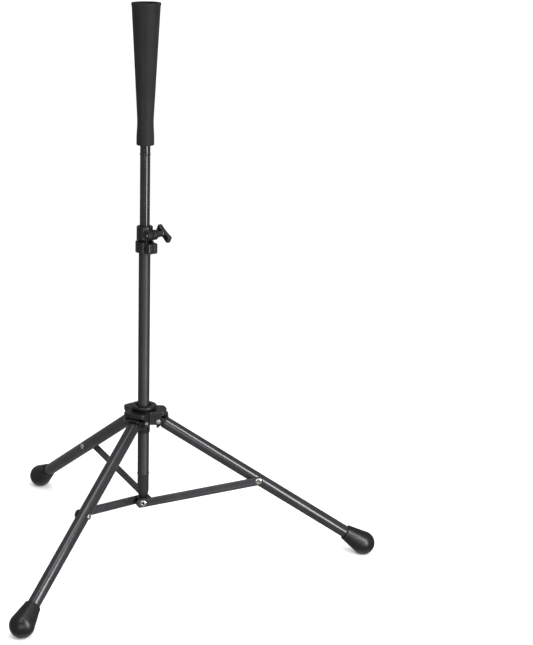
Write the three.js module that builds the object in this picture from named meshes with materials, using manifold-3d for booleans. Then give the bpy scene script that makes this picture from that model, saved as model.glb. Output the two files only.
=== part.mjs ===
// Batting tee: a rubber cone on a telescoping pole, held by a pinch collar on a column
// that stands on three folding legs. Millimetres, +Z up. The origin is on the floor, at the
// middle of the tee's overall box. Leg 0 points along +X; the others follow every 120 degrees.
import * as THREE from 'three';
import { mergeVertices } from 'three/addons/utils/BufferGeometryUtils.js';
import Module from 'manifold-3d';

// ---- Driving dimensions ----

// Fits
const GAP = 0.3;                // clearance between touching or cut pieces
const LEGS = 3;
const SIDES = 24;               // facets round a tube
const FOOT_SIDES = 20;          // facets round a foot
const CONE_SIDES = 32;          // facets round the cone
const FINE_SIDES = 12;          // facets round a rivet, pin or screw
const EDGE = 1;                 // small edge break of a turned or moulded piece
const OVERLAP = 1;              // how far joined solids run into each other
const REACH = 60;               // how far a cutting solid runs past what it cuts

// Column: the lower tube, plain except for a rolled bead and a swaged foot
const COLUMN_OD = 22;
const COLUMN_WALL = 1.2;
const COLUMN_BOTTOM = 119.5;
const COLUMN_LENGTH = 500.7;
const SWAGE_HEIGHT = 12;        // tapered stretch at the foot of the column
const SWAGE_DROP = 2.6;         // how much the radius shrinks over it
const BEAD_ABOVE_BOTTOM = 45.5;
const BEAD_RISE = 1;            // how far a rolled bead stands proud of a tube
const BEAD_HALF_HEIGHT = 2;

// Pole: the upper tube, which slides in the column's bore
const POLE_WALL = 1.1;
const POLE_INSERTION = 206;     // length inside the column as shown
const POLE_SHOWN = 152;         // bare length between collar and cone as shown
const POLE_IN_CONE = 112;       // length inside the rubber cone
const POLE_BEAD_BELOW_CONE = 17;
const GUIDE_LENGTH = 30;        // of the bush inside the pole's lower end
const GUIDE_FLANGE = 3;
const CAP_THICKNESS = 3;        // of the plug in the pole's upper end
const CAP_SPIGOT = 14;

// Cone: the rubber cup that holds the ball
const CONE_HEIGHT = 259;
const CONE_TOP_RADIUS = 26.6;
const CONE_WAIST_RADIUS = 15.2;
const CONE_FOOT_RADIUS = 16.4;
const CONE_WAIST_ABOVE_BOTTOM = 46;
const CONE_WALL = 3.4;
const CONE_LIP = 0.5;           // rim roll outside the taper
const CONE_LIP_HEIGHT = 6;
const CONE_FOOT_HEIGHT = 14;    // straight stretch at the cone's lower end
const CONE_WAIST_BLEND = 10;
const CONE_FLOOR = 6;           // slope of the cup's floor above the pole's plug

// Pinch collar
const COLLAR_GRIP = 18.4;       // how far it reaches down over the column
const COLLAR_LOWER_HEIGHT = 20;
const COLLAR_SLOT_HEIGHT = 5;   // open slot between the two clamps
const COLLAR_UPPER_HEIGHT = 24;
const COLLAR_LOWER_RADIUS = 17.4;
const COLLAR_UPPER_RADIUS = 15.3;
const COLLAR_SPLIT = 1.6;       // width of the split that the bolt closes
const COLLAR_SPLIT_START = 5;   // from the column axis
const COLLAR_SLOT_BACK = 3;     // how far the slot stays in front of the column axis
const COLLAR_TURN = -56;        // direction of the split, degrees
const EAR_REACH = 28.5;
const EAR_THICKNESS = 9.6;
const BOSS_RADIUS = 9.6;
const BOSS_RAISE = 0.4;         // boss above the slot
const BOSS_WEB_HALF_HEIGHT = 8;
const BOSS_PROUD = 1.4;         // boss ends beyond the web behind them
const BOLT_RADIUS = 3;
const BOLT_REACH = 21.5;        // bolt axis from the column axis
const NUT_THICKNESS = 4;
const NUT_RADIUS = 5.6;
const NUT_SINK = 1;             // nut below the boss's face
const WASHER_THICKNESS = 1.2;
const WASHER_RADIUS = 7.5;
const COLLAR_SCREW_RADIUS = 2;
const COLLAR_SCREW_HEAD = 3.4;
const COLLAR_SCREW_SINK = 2.4;  // depth of the counterbore for its head
const COLLAR_SCREW_WALL = 3;    // plastic left past its tip
const COLLAR_SCREW_CLEAR = 2;   // plastic between its head and the column
const COLLAR_SCREW_HEIGHT = 9;  // above the collar's bottom
const SCREW_RECESS = 0.4;       // screw head below the face round it
const SCREW_EDGE = 0.6;         // edge break of a screw head

// T knob
const KNOB_STEM_RADIUS = 6;
const KNOB_STEM_LENGTH = 12;
const KNOB_BAR_THICKNESS = 9;
const KNOB_BAR_HALF_LENGTH = 20;
const KNOB_BAR_WIDTH = 14;
const KNOB_WAIST_WIDTH = 11.5;
const KNOB_CORNER = 2;
const KNOB_BOLT_DEPTH = 4;      // blind hole in the bar
const KNOB_TURN = 30;           // how far the bar leans from upright, degrees

// Leg hub
const HUB_TOP = 295;
const HUB_HEIGHT = 26;
const HUB_ROOF = 4;
const HUB_SKIRT_DROP = 4.5;     // end lip of an arm, below the roof
const HUB_SKIRT = 4;
const ARM_HALF_WIDTH = 22;
const ARM_CHEEK = 5.5;
const ARM_REACH = 42;
const ARM_CORNER_REACH = 39;
const CHEEK_REACH = 33.5;       // the cheeks end before the roof does
const HUB_CORE_RADIUS = 17;
const HUB_CORE_HEIGHT = 18;

// Slide bush of the hub
const BUSH_WALL = 1.2;
const BUSH_DROP = 46.5;         // from the hub's top to the bush's bottom
const BUSH_RING_RADIUS = 25;
const BUSH_RING_HEIGHT = 5;
const BUSH_RING_RAISE = 3;      // neck between hub and ring
const BUSH_NECK_RADIUS = 19;
const BUSH_RECESS_RADIUS = 15;
const BUSH_RECESS_DEPTH = 3.4;
const SCREW_BOSS_RADIUS = 5.4;
const SCREW_BOSS_PROUD = 2.7;   // boss above the bush
const SCREW_BOSS_HEIGHT = 10;   // above the bottom of the bush
const BUSH_LEAD = 0.6;          // taper at the bush's lower end
const BUSH_LEAD_HEIGHT = 3;
const HUB_SCREW_RADIUS = 2;
const HUB_SCREW_HEAD = 3.9;
const HUB_SCREW_SINK = 2;       // depth of the counterbore for its head
const HUB_SCREW_PROUD = 0.2;    // head above the boss
const HUB_SCREW_SLOT = 1.2;
const HUB_SCREW_TURN = 35;      // direction of the slot, degrees

// Legs
const LEG_OD = 23.4;
const LEG_WALL = 1.3;
const PIVOT_RADIUS = 28;        // leg hinge from the column axis
const PIVOT_DROP = 19;          // leg hinge below the hub's top
const FOOT_RADIUS = 429;        // centre of a foot ball from the column axis
const FOOT_BALL = 22.6;
const FOOT_FLAT = 1;            // how much of the ball is cut flat on the floor
const FOOT_SLEEVE_RADIUS = 14.9;
const FOOT_SLEEVE_LENGTH = 42;  // from the sleeve's mouth to the ball's centre
const FOOT_STEPS = 9;           // rings of facets down the ball
const TUBE_SHORT = 4;           // tube end before the ball's centre
const BARREL_RADIUS = 5.2;
const BARREL_HALF_LENGTH = 16;
const PIN_RADIUS = 2.5;
const PIN_HEAD_RADIUS = 4.4;
const PIN_HEAD = 2;
const PIN_TAIL = 3.4;           // pin past the hub's cheek
const CLIP_RADIUS = 5;
const CLIP_THICKNESS = 1.2;
const PLATE_ALONG = 8.2;        // stop plate's middle, from the hinge
const PLATE_THICKNESS = 4;
const PLATE_HALF_WIDTH = 15;
const PLATE_ABOVE = 17;         // stop plate above the leg's axis
const PLATE_BELOW = 14;
const PLATE_LEAN = 10;          // degrees
const SPIGOT_LENGTH = 36;
const FITTING_WEB_HALF_WIDTH = 12;
const FITTING_EASE = 0.4;       // web and gussets below the barrel's crown
const GUSSET_THICKNESS = 3;
const GUSSET_ABOVE = 11;        // gusset's reach up and down the stop plate
const GUSSET_BELOW = 10;

// Braces
const BRACE_WIDTH = 16.4;
const BRACE_THICKNESS = 2.5;
const BRACE_PIVOT_DROP = 11.5;  // brace rivets below the column's end
const BRACE_ON_LEG = 229;       // along the leg from its hinge
const BRACE_TAIL = 3.5;         // extra length past the end's half round at the column
const RIVET_RADIUS = 3;
const RIVET_HEAD_RADIUS = 6.2;
const RIVET_HEAD = 1.6;
const RIVET_HOLE = 1.9;
const RIVET_ROLL = 0.5;         // rounding of a rivet's rolled rim
const RIVET_DIMPLE = 1.5;       // depth of a rivet's hollow below its head's seat
const RIVET_GRIP = 3;           // rivet's depth in the plug, inside the column's radius
const BRACE_CORNER = 3.5;       // chamfer at the brace's column end
const PLUG_BLOCK_HEIGHT = 17;
const PLUG_CORNER_RADIUS = 13.4;
const PLUG_SPIGOT_LENGTH = 50;

// ---- Derived dimensions ----

const rad = THREE.MathUtils.degToRad;
const columnR = COLUMN_OD / 2;
const columnBore = columnR - COLUMN_WALL;
const poleR = columnBore - GAP;
const legR = LEG_OD / 2;
const legBore = legR - LEG_WALL;
const bushR = columnR + GAP + BUSH_WALL;
const bossReach = bushR + SCREW_BOSS_PROUD;
const columnTop = COLUMN_BOTTOM + COLUMN_LENGTH;
const collarBottom = columnTop - COLLAR_GRIP;
const lowerTop = collarBottom + COLLAR_LOWER_HEIGHT;
const upperBottom = lowerTop + COLLAR_SLOT_HEIGHT;
const collarTop = upperBottom + COLLAR_UPPER_HEIGHT;
const coneBottom = collarTop + POLE_SHOWN;
const coneTop = coneBottom + CONE_HEIGHT;
const bushBottom = HUB_TOP - BUSH_DROP;
const pivotHeight = HUB_TOP - PIVOT_DROP;
const bracePivotHeight = COLUMN_BOTTOM - BRACE_PIVOT_DROP;
const footHeight = FOOT_BALL - FOOT_FLAT;
const legAngle = Math.atan2(pivotHeight - footHeight, FOOT_RADIUS - PIVOT_RADIUS);
const legLength = Math.hypot(FOOT_RADIUS - PIVOT_RADIUS, pivotHeight - footHeight);
const braceLegX = PIVOT_RADIUS + BRACE_ON_LEG * Math.cos(legAngle);
const braceLegZ = pivotHeight - BRACE_ON_LEG * Math.sin(legAngle);
const braceLength = Math.hypot(braceLegX, braceLegZ - bracePivotHeight);
const braceAngle = Math.atan2(braceLegZ - bracePivotHeight, braceLegX);
const braceInner = Math.max(columnR, legR) + GAP;  // brace's inner face, beside its leg
const braceOuter = braceInner + BRACE_THICKNESS;
const rivetTip = columnR - RIVET_GRIP;
const columnX = -(FOOT_RADIUS - FOOT_RADIUS * Math.cos(rad(60))) / 2;

// ---- Solids ----

const wasm = await Module();
wasm.setup();

// A copy with only positions, shared corners merged, flat triangles dropped, faces outward.
function weld(geometry) {
  const bare = geometry.clone();
  bare.deleteAttribute('normal');
  bare.deleteAttribute('uv');
  const merged = mergeVertices(bare, 1e-4);
  const at = merged.attributes.position;
  const corner = [0, 1, 2].map(() => new THREE.Vector3());
  const kept = [];
  let volume = 0;
  for (let i = 0; i < merged.index.count; i += 3) {
    const ids = [0, 1, 2].map((k) => merged.index.getX(i + k));
    if (new Set(ids).size < 3) continue;
    ids.forEach((id, k) => corner[k].fromBufferAttribute(at, id));
    volume += corner[0].dot(corner[1].clone().cross(corner[2]));
    kept.push(...ids);
  }
  if (volume < 0) kept.reverse();
  merged.setIndex(kept);
  return merged;
}

function toManifold(geometry) {
  const welded = weld(geometry);
  return new wasm.Manifold(new wasm.Mesh({
    numProp: 3,
    vertProperties: new Float32Array(welded.attributes.position.array),
    triVerts: new Uint32Array(welded.index.array),
  }));
}

function toGeometry(manifold) {
  const mesh = manifold.getMesh();
  const geometry = new THREE.BufferGeometry();
  geometry.setAttribute('position', new THREE.BufferAttribute(mesh.vertProperties, 3));
  geometry.setIndex(new THREE.BufferAttribute(mesh.triVerts, 1));
  return geometry;
}

function join(...shapes) {
  return toGeometry(shapes.map(toManifold).reduce((whole, next) => whole.add(next)));
}

function cut(shape, ...tools) {
  return toGeometry(tools.map(toManifold).reduce((rest, tool) => rest.subtract(tool), toManifold(shape)));
}

// A box from its lowest and highest corners.
function block([x0, y0, z0], [x1, y1, z1]) {
  const geometry = new THREE.BoxGeometry(x1 - x0, y1 - y0, z1 - z0);
  return geometry.translate((x0 + x1) / 2, (y0 + y1) / 2, (z0 + z1) / 2);
}

// A solid of revolution about Z from [radius, height] points that start and end on the axis,
// or that close on themselves.
function turned(points, sides = SIDES) {
  const profile = points.map(([r, z]) => new THREE.Vector2(r, z));
  return new THREE.LatheGeometry(profile, sides).rotateX(Math.PI / 2);
}

// A rod about Z between two heights.
function rod(radius, z0, z1, sides = SIDES) {
  const geometry = new THREE.CylinderGeometry(radius, radius, z1 - z0, sides);
  return geometry.rotateX(Math.PI / 2).translate(0, 0, (z0 + z1) / 2);
}

// The same solid laid along X, with its old Z along +X, or along Y, with its old Z along +Y.
function alongX(geometry) {
  return geometry.rotateY(Math.PI / 2);
}
function alongY(geometry) {
  return geometry.rotateX(-Math.PI / 2);
}

function tube(outer, inner, z0, z1) {
  return turned([[inner, z0], [outer, z0], [outer, z1], [inner, z1], [inner, z0]]);
}

function extruded(shape, depth, curveSegments = 8) {
  return new THREE.ExtrudeGeometry(shape, { depth, bevelEnabled: false, curveSegments });
}

// ---- Materials ----

const FINISHES = {
  steel: { color: 0x17181a, roughness: 0.25, metalness: 0.5 },
  plastic: { color: 0x1c1d1f, roughness: 0.45, metalness: 0 },
  gloss: { color: 0x101113, roughness: 0.2, metalness: 0 },
  rubber: { color: 0x1a1a1b, roughness: 0.8, metalness: 0 },
  zinc: { color: 0xc9ccd0, roughness: 0.3, metalness: 1 },
};

function part(parent, name, finish, geometry) {
  const mesh = new THREE.Mesh(weld(geometry), new THREE.MeshStandardMaterial(FINISHES[finish]));
  mesh.name = name;
  parent.add(mesh);
  return mesh;
}

const tee = new THREE.Group();
tee.position.x = columnX;

// ---- Column and its bottom plug ----

const beadZ = COLUMN_BOTTOM + BEAD_ABOVE_BOTTOM;
const swageTop = COLUMN_BOTTOM + SWAGE_HEIGHT;

function columnTube() {
  return turned([
    [columnBore - SWAGE_DROP, COLUMN_BOTTOM],
    [columnR - SWAGE_DROP, COLUMN_BOTTOM],
    [columnR, swageTop],
    [columnR, beadZ - BEAD_HALF_HEIGHT],
    [columnR + BEAD_RISE, beadZ],
    [columnR, beadZ + BEAD_HALF_HEIGHT],
    [columnR, columnTop],
    [columnBore, columnTop],
    [columnBore, swageTop],
    [columnBore - SWAGE_DROP, COLUMN_BOTTOM],
  ]);
}

// Three flats carry the brace rivets; a spigot goes up into the column.
function bottomPlug() {
  const low = bracePivotHeight - PLUG_BLOCK_HEIGHT / 2;
  const high = low + PLUG_BLOCK_HEIGHT;
  const flat = braceInner - GAP;
  const neck = columnBore - SWAGE_DROP - GAP;
  const spigot = columnBore - GAP;
  let body = rod(PLUG_CORNER_RADIUS, low, high);
  for (let i = 0; i < LEGS; i += 1) {
    const side = block([-REACH, -REACH, low - OVERLAP], [REACH, -flat, high + OVERLAP]).rotateZ(rad(120 * i));
    body = cut(body, side);
  }
  const stem = turned([
    [0, high - OVERLAP],
    [neck, high - OVERLAP],
    [neck, COLUMN_BOTTOM + GAP],
    [spigot, swageTop + GAP],
    [spigot, swageTop + PLUG_SPIGOT_LENGTH],
    [0, swageTop + PLUG_SPIGOT_LENGTH],
  ]);
  body = join(body, stem);
  for (let i = 0; i < LEGS; i += 1) {
    body = cut(body, pivotAxis(rod(RIVET_RADIUS + GAP, rivetTip - GAP, REACH, FINE_SIDES), i));
  }
  return body;
}

// Lays a solid made along +Z onto brace pivot i: along the rivet, outward from the column.
function pivotAxis(geometry, i) {
  const across = geometry.rotateX(Math.PI / 2).translate(0, 0, bracePivotHeight);
  return across.rotateZ(rad(120 * i));
}

part(tee, 'column_tube', 'steel', columnTube());
part(tee, 'column_bottom_plug', 'plastic', bottomPlug());

// ---- Pole, its guide bush and its plug ----

const poleBottom = columnTop - POLE_INSERTION;
const poleTop = coneBottom + POLE_IN_CONE;
const poleBead = coneBottom - POLE_BEAD_BELOW_CONE;
const poleBore = poleR - POLE_WALL;

part(tee, 'upper_pole', 'steel', turned([
  [poleBore, poleBottom],
  [poleR, poleBottom],
  [poleR, poleBead - BEAD_HALF_HEIGHT],
  [poleR + BEAD_RISE, poleBead],
  [poleR, poleBead + BEAD_HALF_HEIGHT],
  [poleR, poleTop],
  [poleBore, poleTop],
  [poleBore, poleBottom],
]));
part(tee, 'pole_guide', 'plastic', turned([
  [0, poleBottom - GAP - GUIDE_FLANGE],
  [columnBore - GAP, poleBottom - GAP - GUIDE_FLANGE],
  [columnBore - GAP, poleBottom - GAP],
  [poleBore - GAP, poleBottom - GAP],
  [poleBore - GAP, poleBottom + GUIDE_LENGTH],
  [0, poleBottom + GUIDE_LENGTH],
]));
part(tee, 'pole_top_plug', 'plastic', turned([
  [0, poleTop - CAP_SPIGOT],
  [poleBore - GAP, poleTop - CAP_SPIGOT],
  [poleBore - GAP, poleTop + GAP],
  [poleR, poleTop + GAP],
  [poleR, poleTop + GAP + CAP_THICKNESS],
  [0, poleTop + GAP + CAP_THICKNESS],
]));

// ---- Cone ----

function teeCone() {
  const waist = coneBottom + CONE_WAIST_ABOVE_BOTTOM;
  const bore = poleR + GAP;
  const socketTop = poleTop + GAP + CAP_THICKNESS + GAP;
  const share = (socketTop - waist) / (coneTop - waist);
  const outerAtSocket = THREE.MathUtils.lerp(CONE_WAIST_RADIUS, CONE_TOP_RADIUS, share);
  const lipBase = coneTop - CONE_LIP_HEIGHT;
  return turned([
    [bore, coneBottom],
    [CONE_FOOT_RADIUS - EDGE, coneBottom],
    [CONE_FOOT_RADIUS, coneBottom + 2 * EDGE],
    [CONE_FOOT_RADIUS, coneBottom + CONE_FOOT_HEIGHT],
    [CONE_WAIST_RADIUS, waist - CONE_WAIST_BLEND],
    [CONE_WAIST_RADIUS, waist],
    [CONE_TOP_RADIUS, lipBase],
    [CONE_TOP_RADIUS + CONE_LIP, lipBase + 2 * EDGE],
    [CONE_TOP_RADIUS + CONE_LIP, coneTop - EDGE],
    [CONE_TOP_RADIUS - CONE_LIP, coneTop],
    [CONE_TOP_RADIUS - CONE_WALL + CONE_LIP, coneTop],
    [CONE_TOP_RADIUS - CONE_WALL, coneTop - EDGE],
    [outerAtSocket - CONE_WALL, socketTop + CONE_FLOOR],
    [bore, socketTop],
    [bore, coneBottom],
  ], CONE_SIDES);
}

part(tee, 'tee_cone', 'rubber', teeCone());

// ---- Pinch collar, in its own frame: split along +X, bolt along +Y ----

const collar = new THREE.Group();
collar.rotation.z = rad(COLLAR_TURN);
tee.add(collar);

const boltZ = upperBottom + BOSS_RADIUS + BOSS_RAISE;
const earOuter = COLLAR_SPLIT / 2 + EAR_THICKNESS;
const collarScrewX = columnR + GAP + COLLAR_SCREW_HEAD + COLLAR_SCREW_CLEAR;

function heightCollar() {
  const upper = rod(COLLAR_UPPER_RADIUS, lowerTop - OVERLAP, collarTop);
  const lower = rod(COLLAR_LOWER_RADIUS, collarBottom, lowerTop);
  const ears = block([0, -earOuter, collarBottom], [EAR_REACH, earOuter, lowerTop]);
  const boss = alongY(rod(BOSS_RADIUS, -earOuter, earOuter)).translate(BOLT_REACH - EDGE, 0, boltZ);
  const webLow = boltZ - BOSS_WEB_HALF_HEIGHT;
  const webHigh = boltZ + BOSS_WEB_HALF_HEIGHT;
  const webHalf = earOuter - BOSS_PROUD;
  const web = block([0, -webHalf, webLow], [BOLT_REACH - EDGE, webHalf, webHigh]);
  const body = join(upper, lower, ears, boss, web);
  const ledge = columnTop + GAP;
  const slot = block([-REACH, -REACH, lowerTop], [REACH, -COLLAR_SLOT_BACK, upperBottom]);
  const half = COLLAR_SPLIT / 2;
  const nutPocket = alongY(rod(NUT_RADIUS + GAP, -REACH, -earOuter + NUT_THICKNESS + NUT_SINK, 6));
  const low = collarBottom - OVERLAP;
  const high = collarTop + OVERLAP;
  return cut(
    body,
    rod(columnR + GAP, low, ledge),
    rod(poleR + GAP, ledge - OVERLAP, high),
    block([COLLAR_SPLIT_START, -half, low], [REACH, half, high]),
    slot.rotateZ(-rad(COLLAR_TURN)),
    alongY(rod(BOLT_RADIUS + GAP, -REACH, REACH, FINE_SIDES)).translate(BOLT_REACH, 0, boltZ),
    nutPocket.translate(BOLT_REACH, 0, boltZ),
    collarScrewAxis(rod(COLLAR_SCREW_RADIUS + GAP, -REACH, earOuter - COLLAR_SCREW_WALL, FINE_SIDES)),
    collarScrewAxis(rod(COLLAR_SCREW_HEAD + GAP, -REACH, -earOuter + COLLAR_SCREW_SINK, FINE_SIDES)),
  );
}

// The pinch screw of the lower clamp crosses the split beside the column.
function collarScrewAxis(geometry) {
  return alongY(geometry).translate(collarScrewX, 0, collarBottom + COLLAR_SCREW_HEIGHT);
}

function collarScrew() {
  const seat = -earOuter + COLLAR_SCREW_SINK - GAP;
  const face = -earOuter + SCREW_RECESS;
  return collarScrewAxis(turned([
    [0, face],
    [COLLAR_SCREW_HEAD - SCREW_EDGE, face],
    [COLLAR_SCREW_HEAD, face + SCREW_EDGE],
    [COLLAR_SCREW_HEAD, seat],
    [COLLAR_SCREW_RADIUS, seat],
    [COLLAR_SCREW_RADIUS, earOuter - COLLAR_SCREW_WALL - GAP],
    [0, earOuter - COLLAR_SCREW_WALL - GAP],
  ], FINE_SIDES));
}

function clampNut() {
  const end = -earOuter + NUT_SINK + NUT_THICKNESS - 2 * GAP;
  const body = rod(NUT_RADIUS, end + GAP - NUT_THICKNESS, end, 6);
  const nut = cut(body, rod(BOLT_RADIUS + GAP, -REACH, REACH, FINE_SIDES));
  return alongY(nut).translate(BOLT_REACH, 0, boltZ);
}

part(collar, 'height_collar', 'plastic', heightCollar());
part(collar, 'collar_screw', 'zinc', collarScrew());
part(collar, 'clamp_nut', 'zinc', clampNut());

const washerStart = earOuter + GAP;
const washerEnd = washerStart + WASHER_THICKNESS;
const washer = tube(WASHER_RADIUS, BOLT_RADIUS + GAP, washerStart, washerEnd);
part(collar, 'clamp_washer', 'zinc', alongY(washer).translate(BOLT_REACH, 0, boltZ));

// ---- T knob and its bolt, made along +Z, then laid on the bolt axis ----

const stemStart = washerEnd + GAP;
const barStart = stemStart + KNOB_STEM_LENGTH;
const barEnd = barStart + KNOB_BAR_THICKNESS;

function clampKnob() {
  const wing = new THREE.Shape();
  const end = KNOB_BAR_HALF_LENGTH;
  const half = KNOB_BAR_WIDTH / 2;
  const waist = KNOB_WAIST_WIDTH / 2;
  const corner = KNOB_CORNER;
  wing.moveTo(-end, -half + corner);
  wing.quadraticCurveTo(-end, -half, -end + corner, -half);
  wing.quadraticCurveTo(0, -2 * waist + half, end - corner, -half);
  wing.quadraticCurveTo(end, -half, end, -half + corner);
  wing.lineTo(end, half - corner);
  wing.quadraticCurveTo(end, half, end - corner, half);
  wing.quadraticCurveTo(0, 2 * waist - half, -end + corner, half);
  wing.quadraticCurveTo(-end, half, -end, half - corner);
  wing.closePath();
  const bar = extruded(wing, KNOB_BAR_THICKNESS, 4).translate(0, 0, barStart);
  const stem = turned([
    [0, stemStart],
    [KNOB_STEM_RADIUS, stemStart],
    [KNOB_STEM_RADIUS, barEnd - EDGE],
    [0, barEnd - EDGE],
  ], FINE_SIDES);
  const knob = join(bar, stem);
  return cut(knob, rod(BOLT_RADIUS + GAP, 0, barStart + KNOB_BOLT_DEPTH, FINE_SIDES));
}

function onBolt(geometry) {
  return alongY(geometry).rotateY(rad(KNOB_TURN)).translate(BOLT_REACH, 0, boltZ);
}

part(collar, 'clamp_knob', 'gloss', onBolt(clampKnob()));
const boltTip = barStart + KNOB_BOLT_DEPTH - EDGE;
part(collar, 'clamp_bolt', 'zinc', onBolt(rod(BOLT_RADIUS, -earOuter + GAP, boltTip, FINE_SIDES)));

// ---- Leg hub: a three-armed hood over the leg hinges ----

const turnedPoint = (x, y, angle) => new THREE.Vector2(x, y).rotateAround(new THREE.Vector2(), angle);

function starOutline() {
  const shape = new THREE.Shape();
  const notch = ARM_HALF_WIDTH / Math.sin(rad(60));
  for (let i = 0; i < LEGS; i += 1) {
    const turn = rad(120 * i);
    const inner = turnedPoint(notch, 0, turn - rad(60));
    const first = turnedPoint(ARM_CORNER_REACH, -ARM_HALF_WIDTH, turn);
    const bulge = turnedPoint(2 * ARM_REACH - ARM_CORNER_REACH, 0, turn);
    const last = turnedPoint(ARM_CORNER_REACH, ARM_HALF_WIDTH, turn);
    if (i === 0) shape.moveTo(inner.x, inner.y);
    else shape.lineTo(inner.x, inner.y);
    shape.lineTo(first.x, first.y);
    shape.quadraticCurveTo(bulge.x, bulge.y, last.x, last.y);
  }
  shape.closePath();
  return shape;
}

function legHub() {
  const bottom = HUB_TOP - HUB_HEIGHT;
  const roofUnder = HUB_TOP - HUB_ROOF;
  const pocket = ARM_HALF_WIDTH - ARM_CHEEK;
  const skirtAt = ARM_REACH - HUB_SKIRT;
  const tools = [];
  for (let i = 0; i < LEGS; i += 1) {
    const turn = rad(120 * i);
    const room = block([0, -pocket, bottom - OVERLAP], [skirtAt, pocket, roofUnder]);
    const lintel = roofUnder - HUB_SKIRT_DROP;
    const mouth = block([skirtAt - OVERLAP, -pocket, bottom - OVERLAP], [REACH, pocket, lintel]);
    const past = block([CHEEK_REACH, -REACH, bottom - OVERLAP], [REACH, REACH, lintel]);
    tools.push(room.rotateZ(turn), mouth.rotateZ(turn), past.rotateZ(turn));
  }
  const star = extruded(starOutline(), HUB_HEIGHT, 6).translate(0, 0, bottom);
  const core = rod(HUB_CORE_RADIUS, HUB_TOP - HUB_CORE_HEIGHT, roofUnder + OVERLAP);
  const body = join(cut(star, ...tools), core);
  const pinHoles = [];
  for (let i = 0; i < LEGS; i += 1) {
    const hole = alongY(rod(PIN_RADIUS + GAP, -REACH, REACH, FINE_SIDES));
    pinHoles.push(hole.translate(PIVOT_RADIUS, 0, pivotHeight).rotateZ(rad(120 * i)));
  }
  return cut(body, rod(bushR + GAP, bottom - OVERLAP, HUB_TOP + OVERLAP), ...pinHoles);
}

// The bush that slides on the column, with its top ring and the boss for the lock screw.
function hubBush() {
  const neckBottom = HUB_TOP + GAP;
  const ringBottom = neckBottom + BUSH_RING_RAISE;
  const ringTop = ringBottom + BUSH_RING_HEIGHT;
  const bore = columnR + GAP;
  const sleeve = turned([
    [bore, bushBottom],
    [bushR - BUSH_LEAD, bushBottom],
    [bushR, bushBottom + BUSH_LEAD_HEIGHT],
    [bushR, neckBottom],
    [BUSH_NECK_RADIUS, neckBottom],
    [BUSH_NECK_RADIUS, ringBottom],
    [BUSH_RING_RADIUS, ringBottom],
    [BUSH_RING_RADIUS, ringTop - EDGE],
    [BUSH_RING_RADIUS - EDGE, ringTop],
    [BUSH_RECESS_RADIUS, ringTop],
    [BUSH_RECESS_RADIUS, ringTop - BUSH_RECESS_DEPTH],
    [bore, ringTop - BUSH_RECESS_DEPTH],
    [bore, bushBottom],
  ]);
  const boss = hubScrewAxis(rod(SCREW_BOSS_RADIUS, bushR - BUSH_WALL / 2, bossReach, FINE_SIDES));
  const seat = bossReach - HUB_SCREW_SINK;
  const counterbore = hubScrewAxis(rod(HUB_SCREW_HEAD + GAP, seat, REACH, FINE_SIDES));
  const hole = hubScrewAxis(rod(HUB_SCREW_RADIUS + GAP, columnR / 2, REACH, FINE_SIDES));
  return cut(join(sleeve, boss), counterbore, hole);
}

// The lock screw faces -Y, midway between the arms' undersides.
function hubScrewAxis(geometry) {
  return geometry.rotateX(Math.PI / 2).translate(0, 0, bushBottom + SCREW_BOSS_HEIGHT);
}

function hubScrew() {
  const headBase = bossReach - HUB_SCREW_SINK + GAP;
  const headTop = bossReach + HUB_SCREW_PROUD;
  const screw = turned([
    [0, columnR + GAP],
    [HUB_SCREW_RADIUS, columnR + GAP],
    [HUB_SCREW_RADIUS, headBase],
    [HUB_SCREW_HEAD, headBase],
    [HUB_SCREW_HEAD, headTop - SCREW_EDGE],
    [HUB_SCREW_HEAD - SCREW_EDGE, headTop],
    [0, headTop],
  ], FINE_SIDES);
  const half = HUB_SCREW_SLOT / 2;
  const slot = block([-half, -REACH, headTop - SCREW_EDGE], [half, REACH, headTop + OVERLAP]);
  return hubScrewAxis(cut(screw, slot).rotateZ(rad(HUB_SCREW_TURN)));
}

part(tee, 'leg_hub', 'plastic', legHub());
part(tee, 'hub_bush', 'plastic', hubBush());
part(tee, 'hub_lock_screw', 'zinc', hubScrew());

// ---- Legs, braces and their pins: one set per arm ----

// Moulded end of a leg: hinge barrel, stop plate, gussets and the spigot in the tube.
function legFitting() {
  const barrel = alongY(rod(BARREL_RADIUS, -BARREL_HALF_LENGTH, BARREL_HALF_LENGTH, FINE_SIDES));
  const wide = FITTING_WEB_HALF_WIDTH;
  const crown = BARREL_RADIUS - FITTING_EASE;
  const web = block([0, -wide, -crown], [PLATE_ALONG, wide, crown]);
  const half = PLATE_THICKNESS / 2;
  const plate = block([-half, -PLATE_HALF_WIDTH, -PLATE_BELOW], [half, PLATE_HALF_WIDTH, PLATE_ABOVE]);
  plate.rotateY(rad(PLATE_LEAN)).translate(PLATE_ALONG, 0, 0);
  const spigot = alongX(rod(legBore - GAP, PLATE_ALONG, PLATE_ALONG + SPIGOT_LENGTH));
  const gussets = [-1, 1].map((side) => {
    const shape = new THREE.Shape();
    shape.moveTo(-EDGE, crown);
    shape.lineTo(PLATE_ALONG + EDGE, GUSSET_ABOVE);
    shape.lineTo(PLATE_ALONG - EDGE, -GUSSET_BELOW);
    shape.lineTo(-EDGE, -crown);
    shape.closePath();
    const wall = extruded(shape, GUSSET_THICKNESS).rotateX(Math.PI / 2);
    const middle = side * (PLATE_HALF_WIDTH - GUSSET_THICKNESS / 2);
    return wall.translate(0, middle + GUSSET_THICKNESS / 2, 0);
  });
  const hole = alongY(rod(PIN_RADIUS + GAP, -REACH, REACH, FINE_SIDES));
  return cut(join(barrel, web, plate, spigot, ...gussets), hole);
}

const plateFace = PLATE_ALONG + PLATE_THICKNESS / 2;
const tubeStart = plateFace + legR * Math.tan(rad(PLATE_LEAN)) + 3 * GAP;
const tubeEnd = legLength - TUBE_SHORT;

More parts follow.
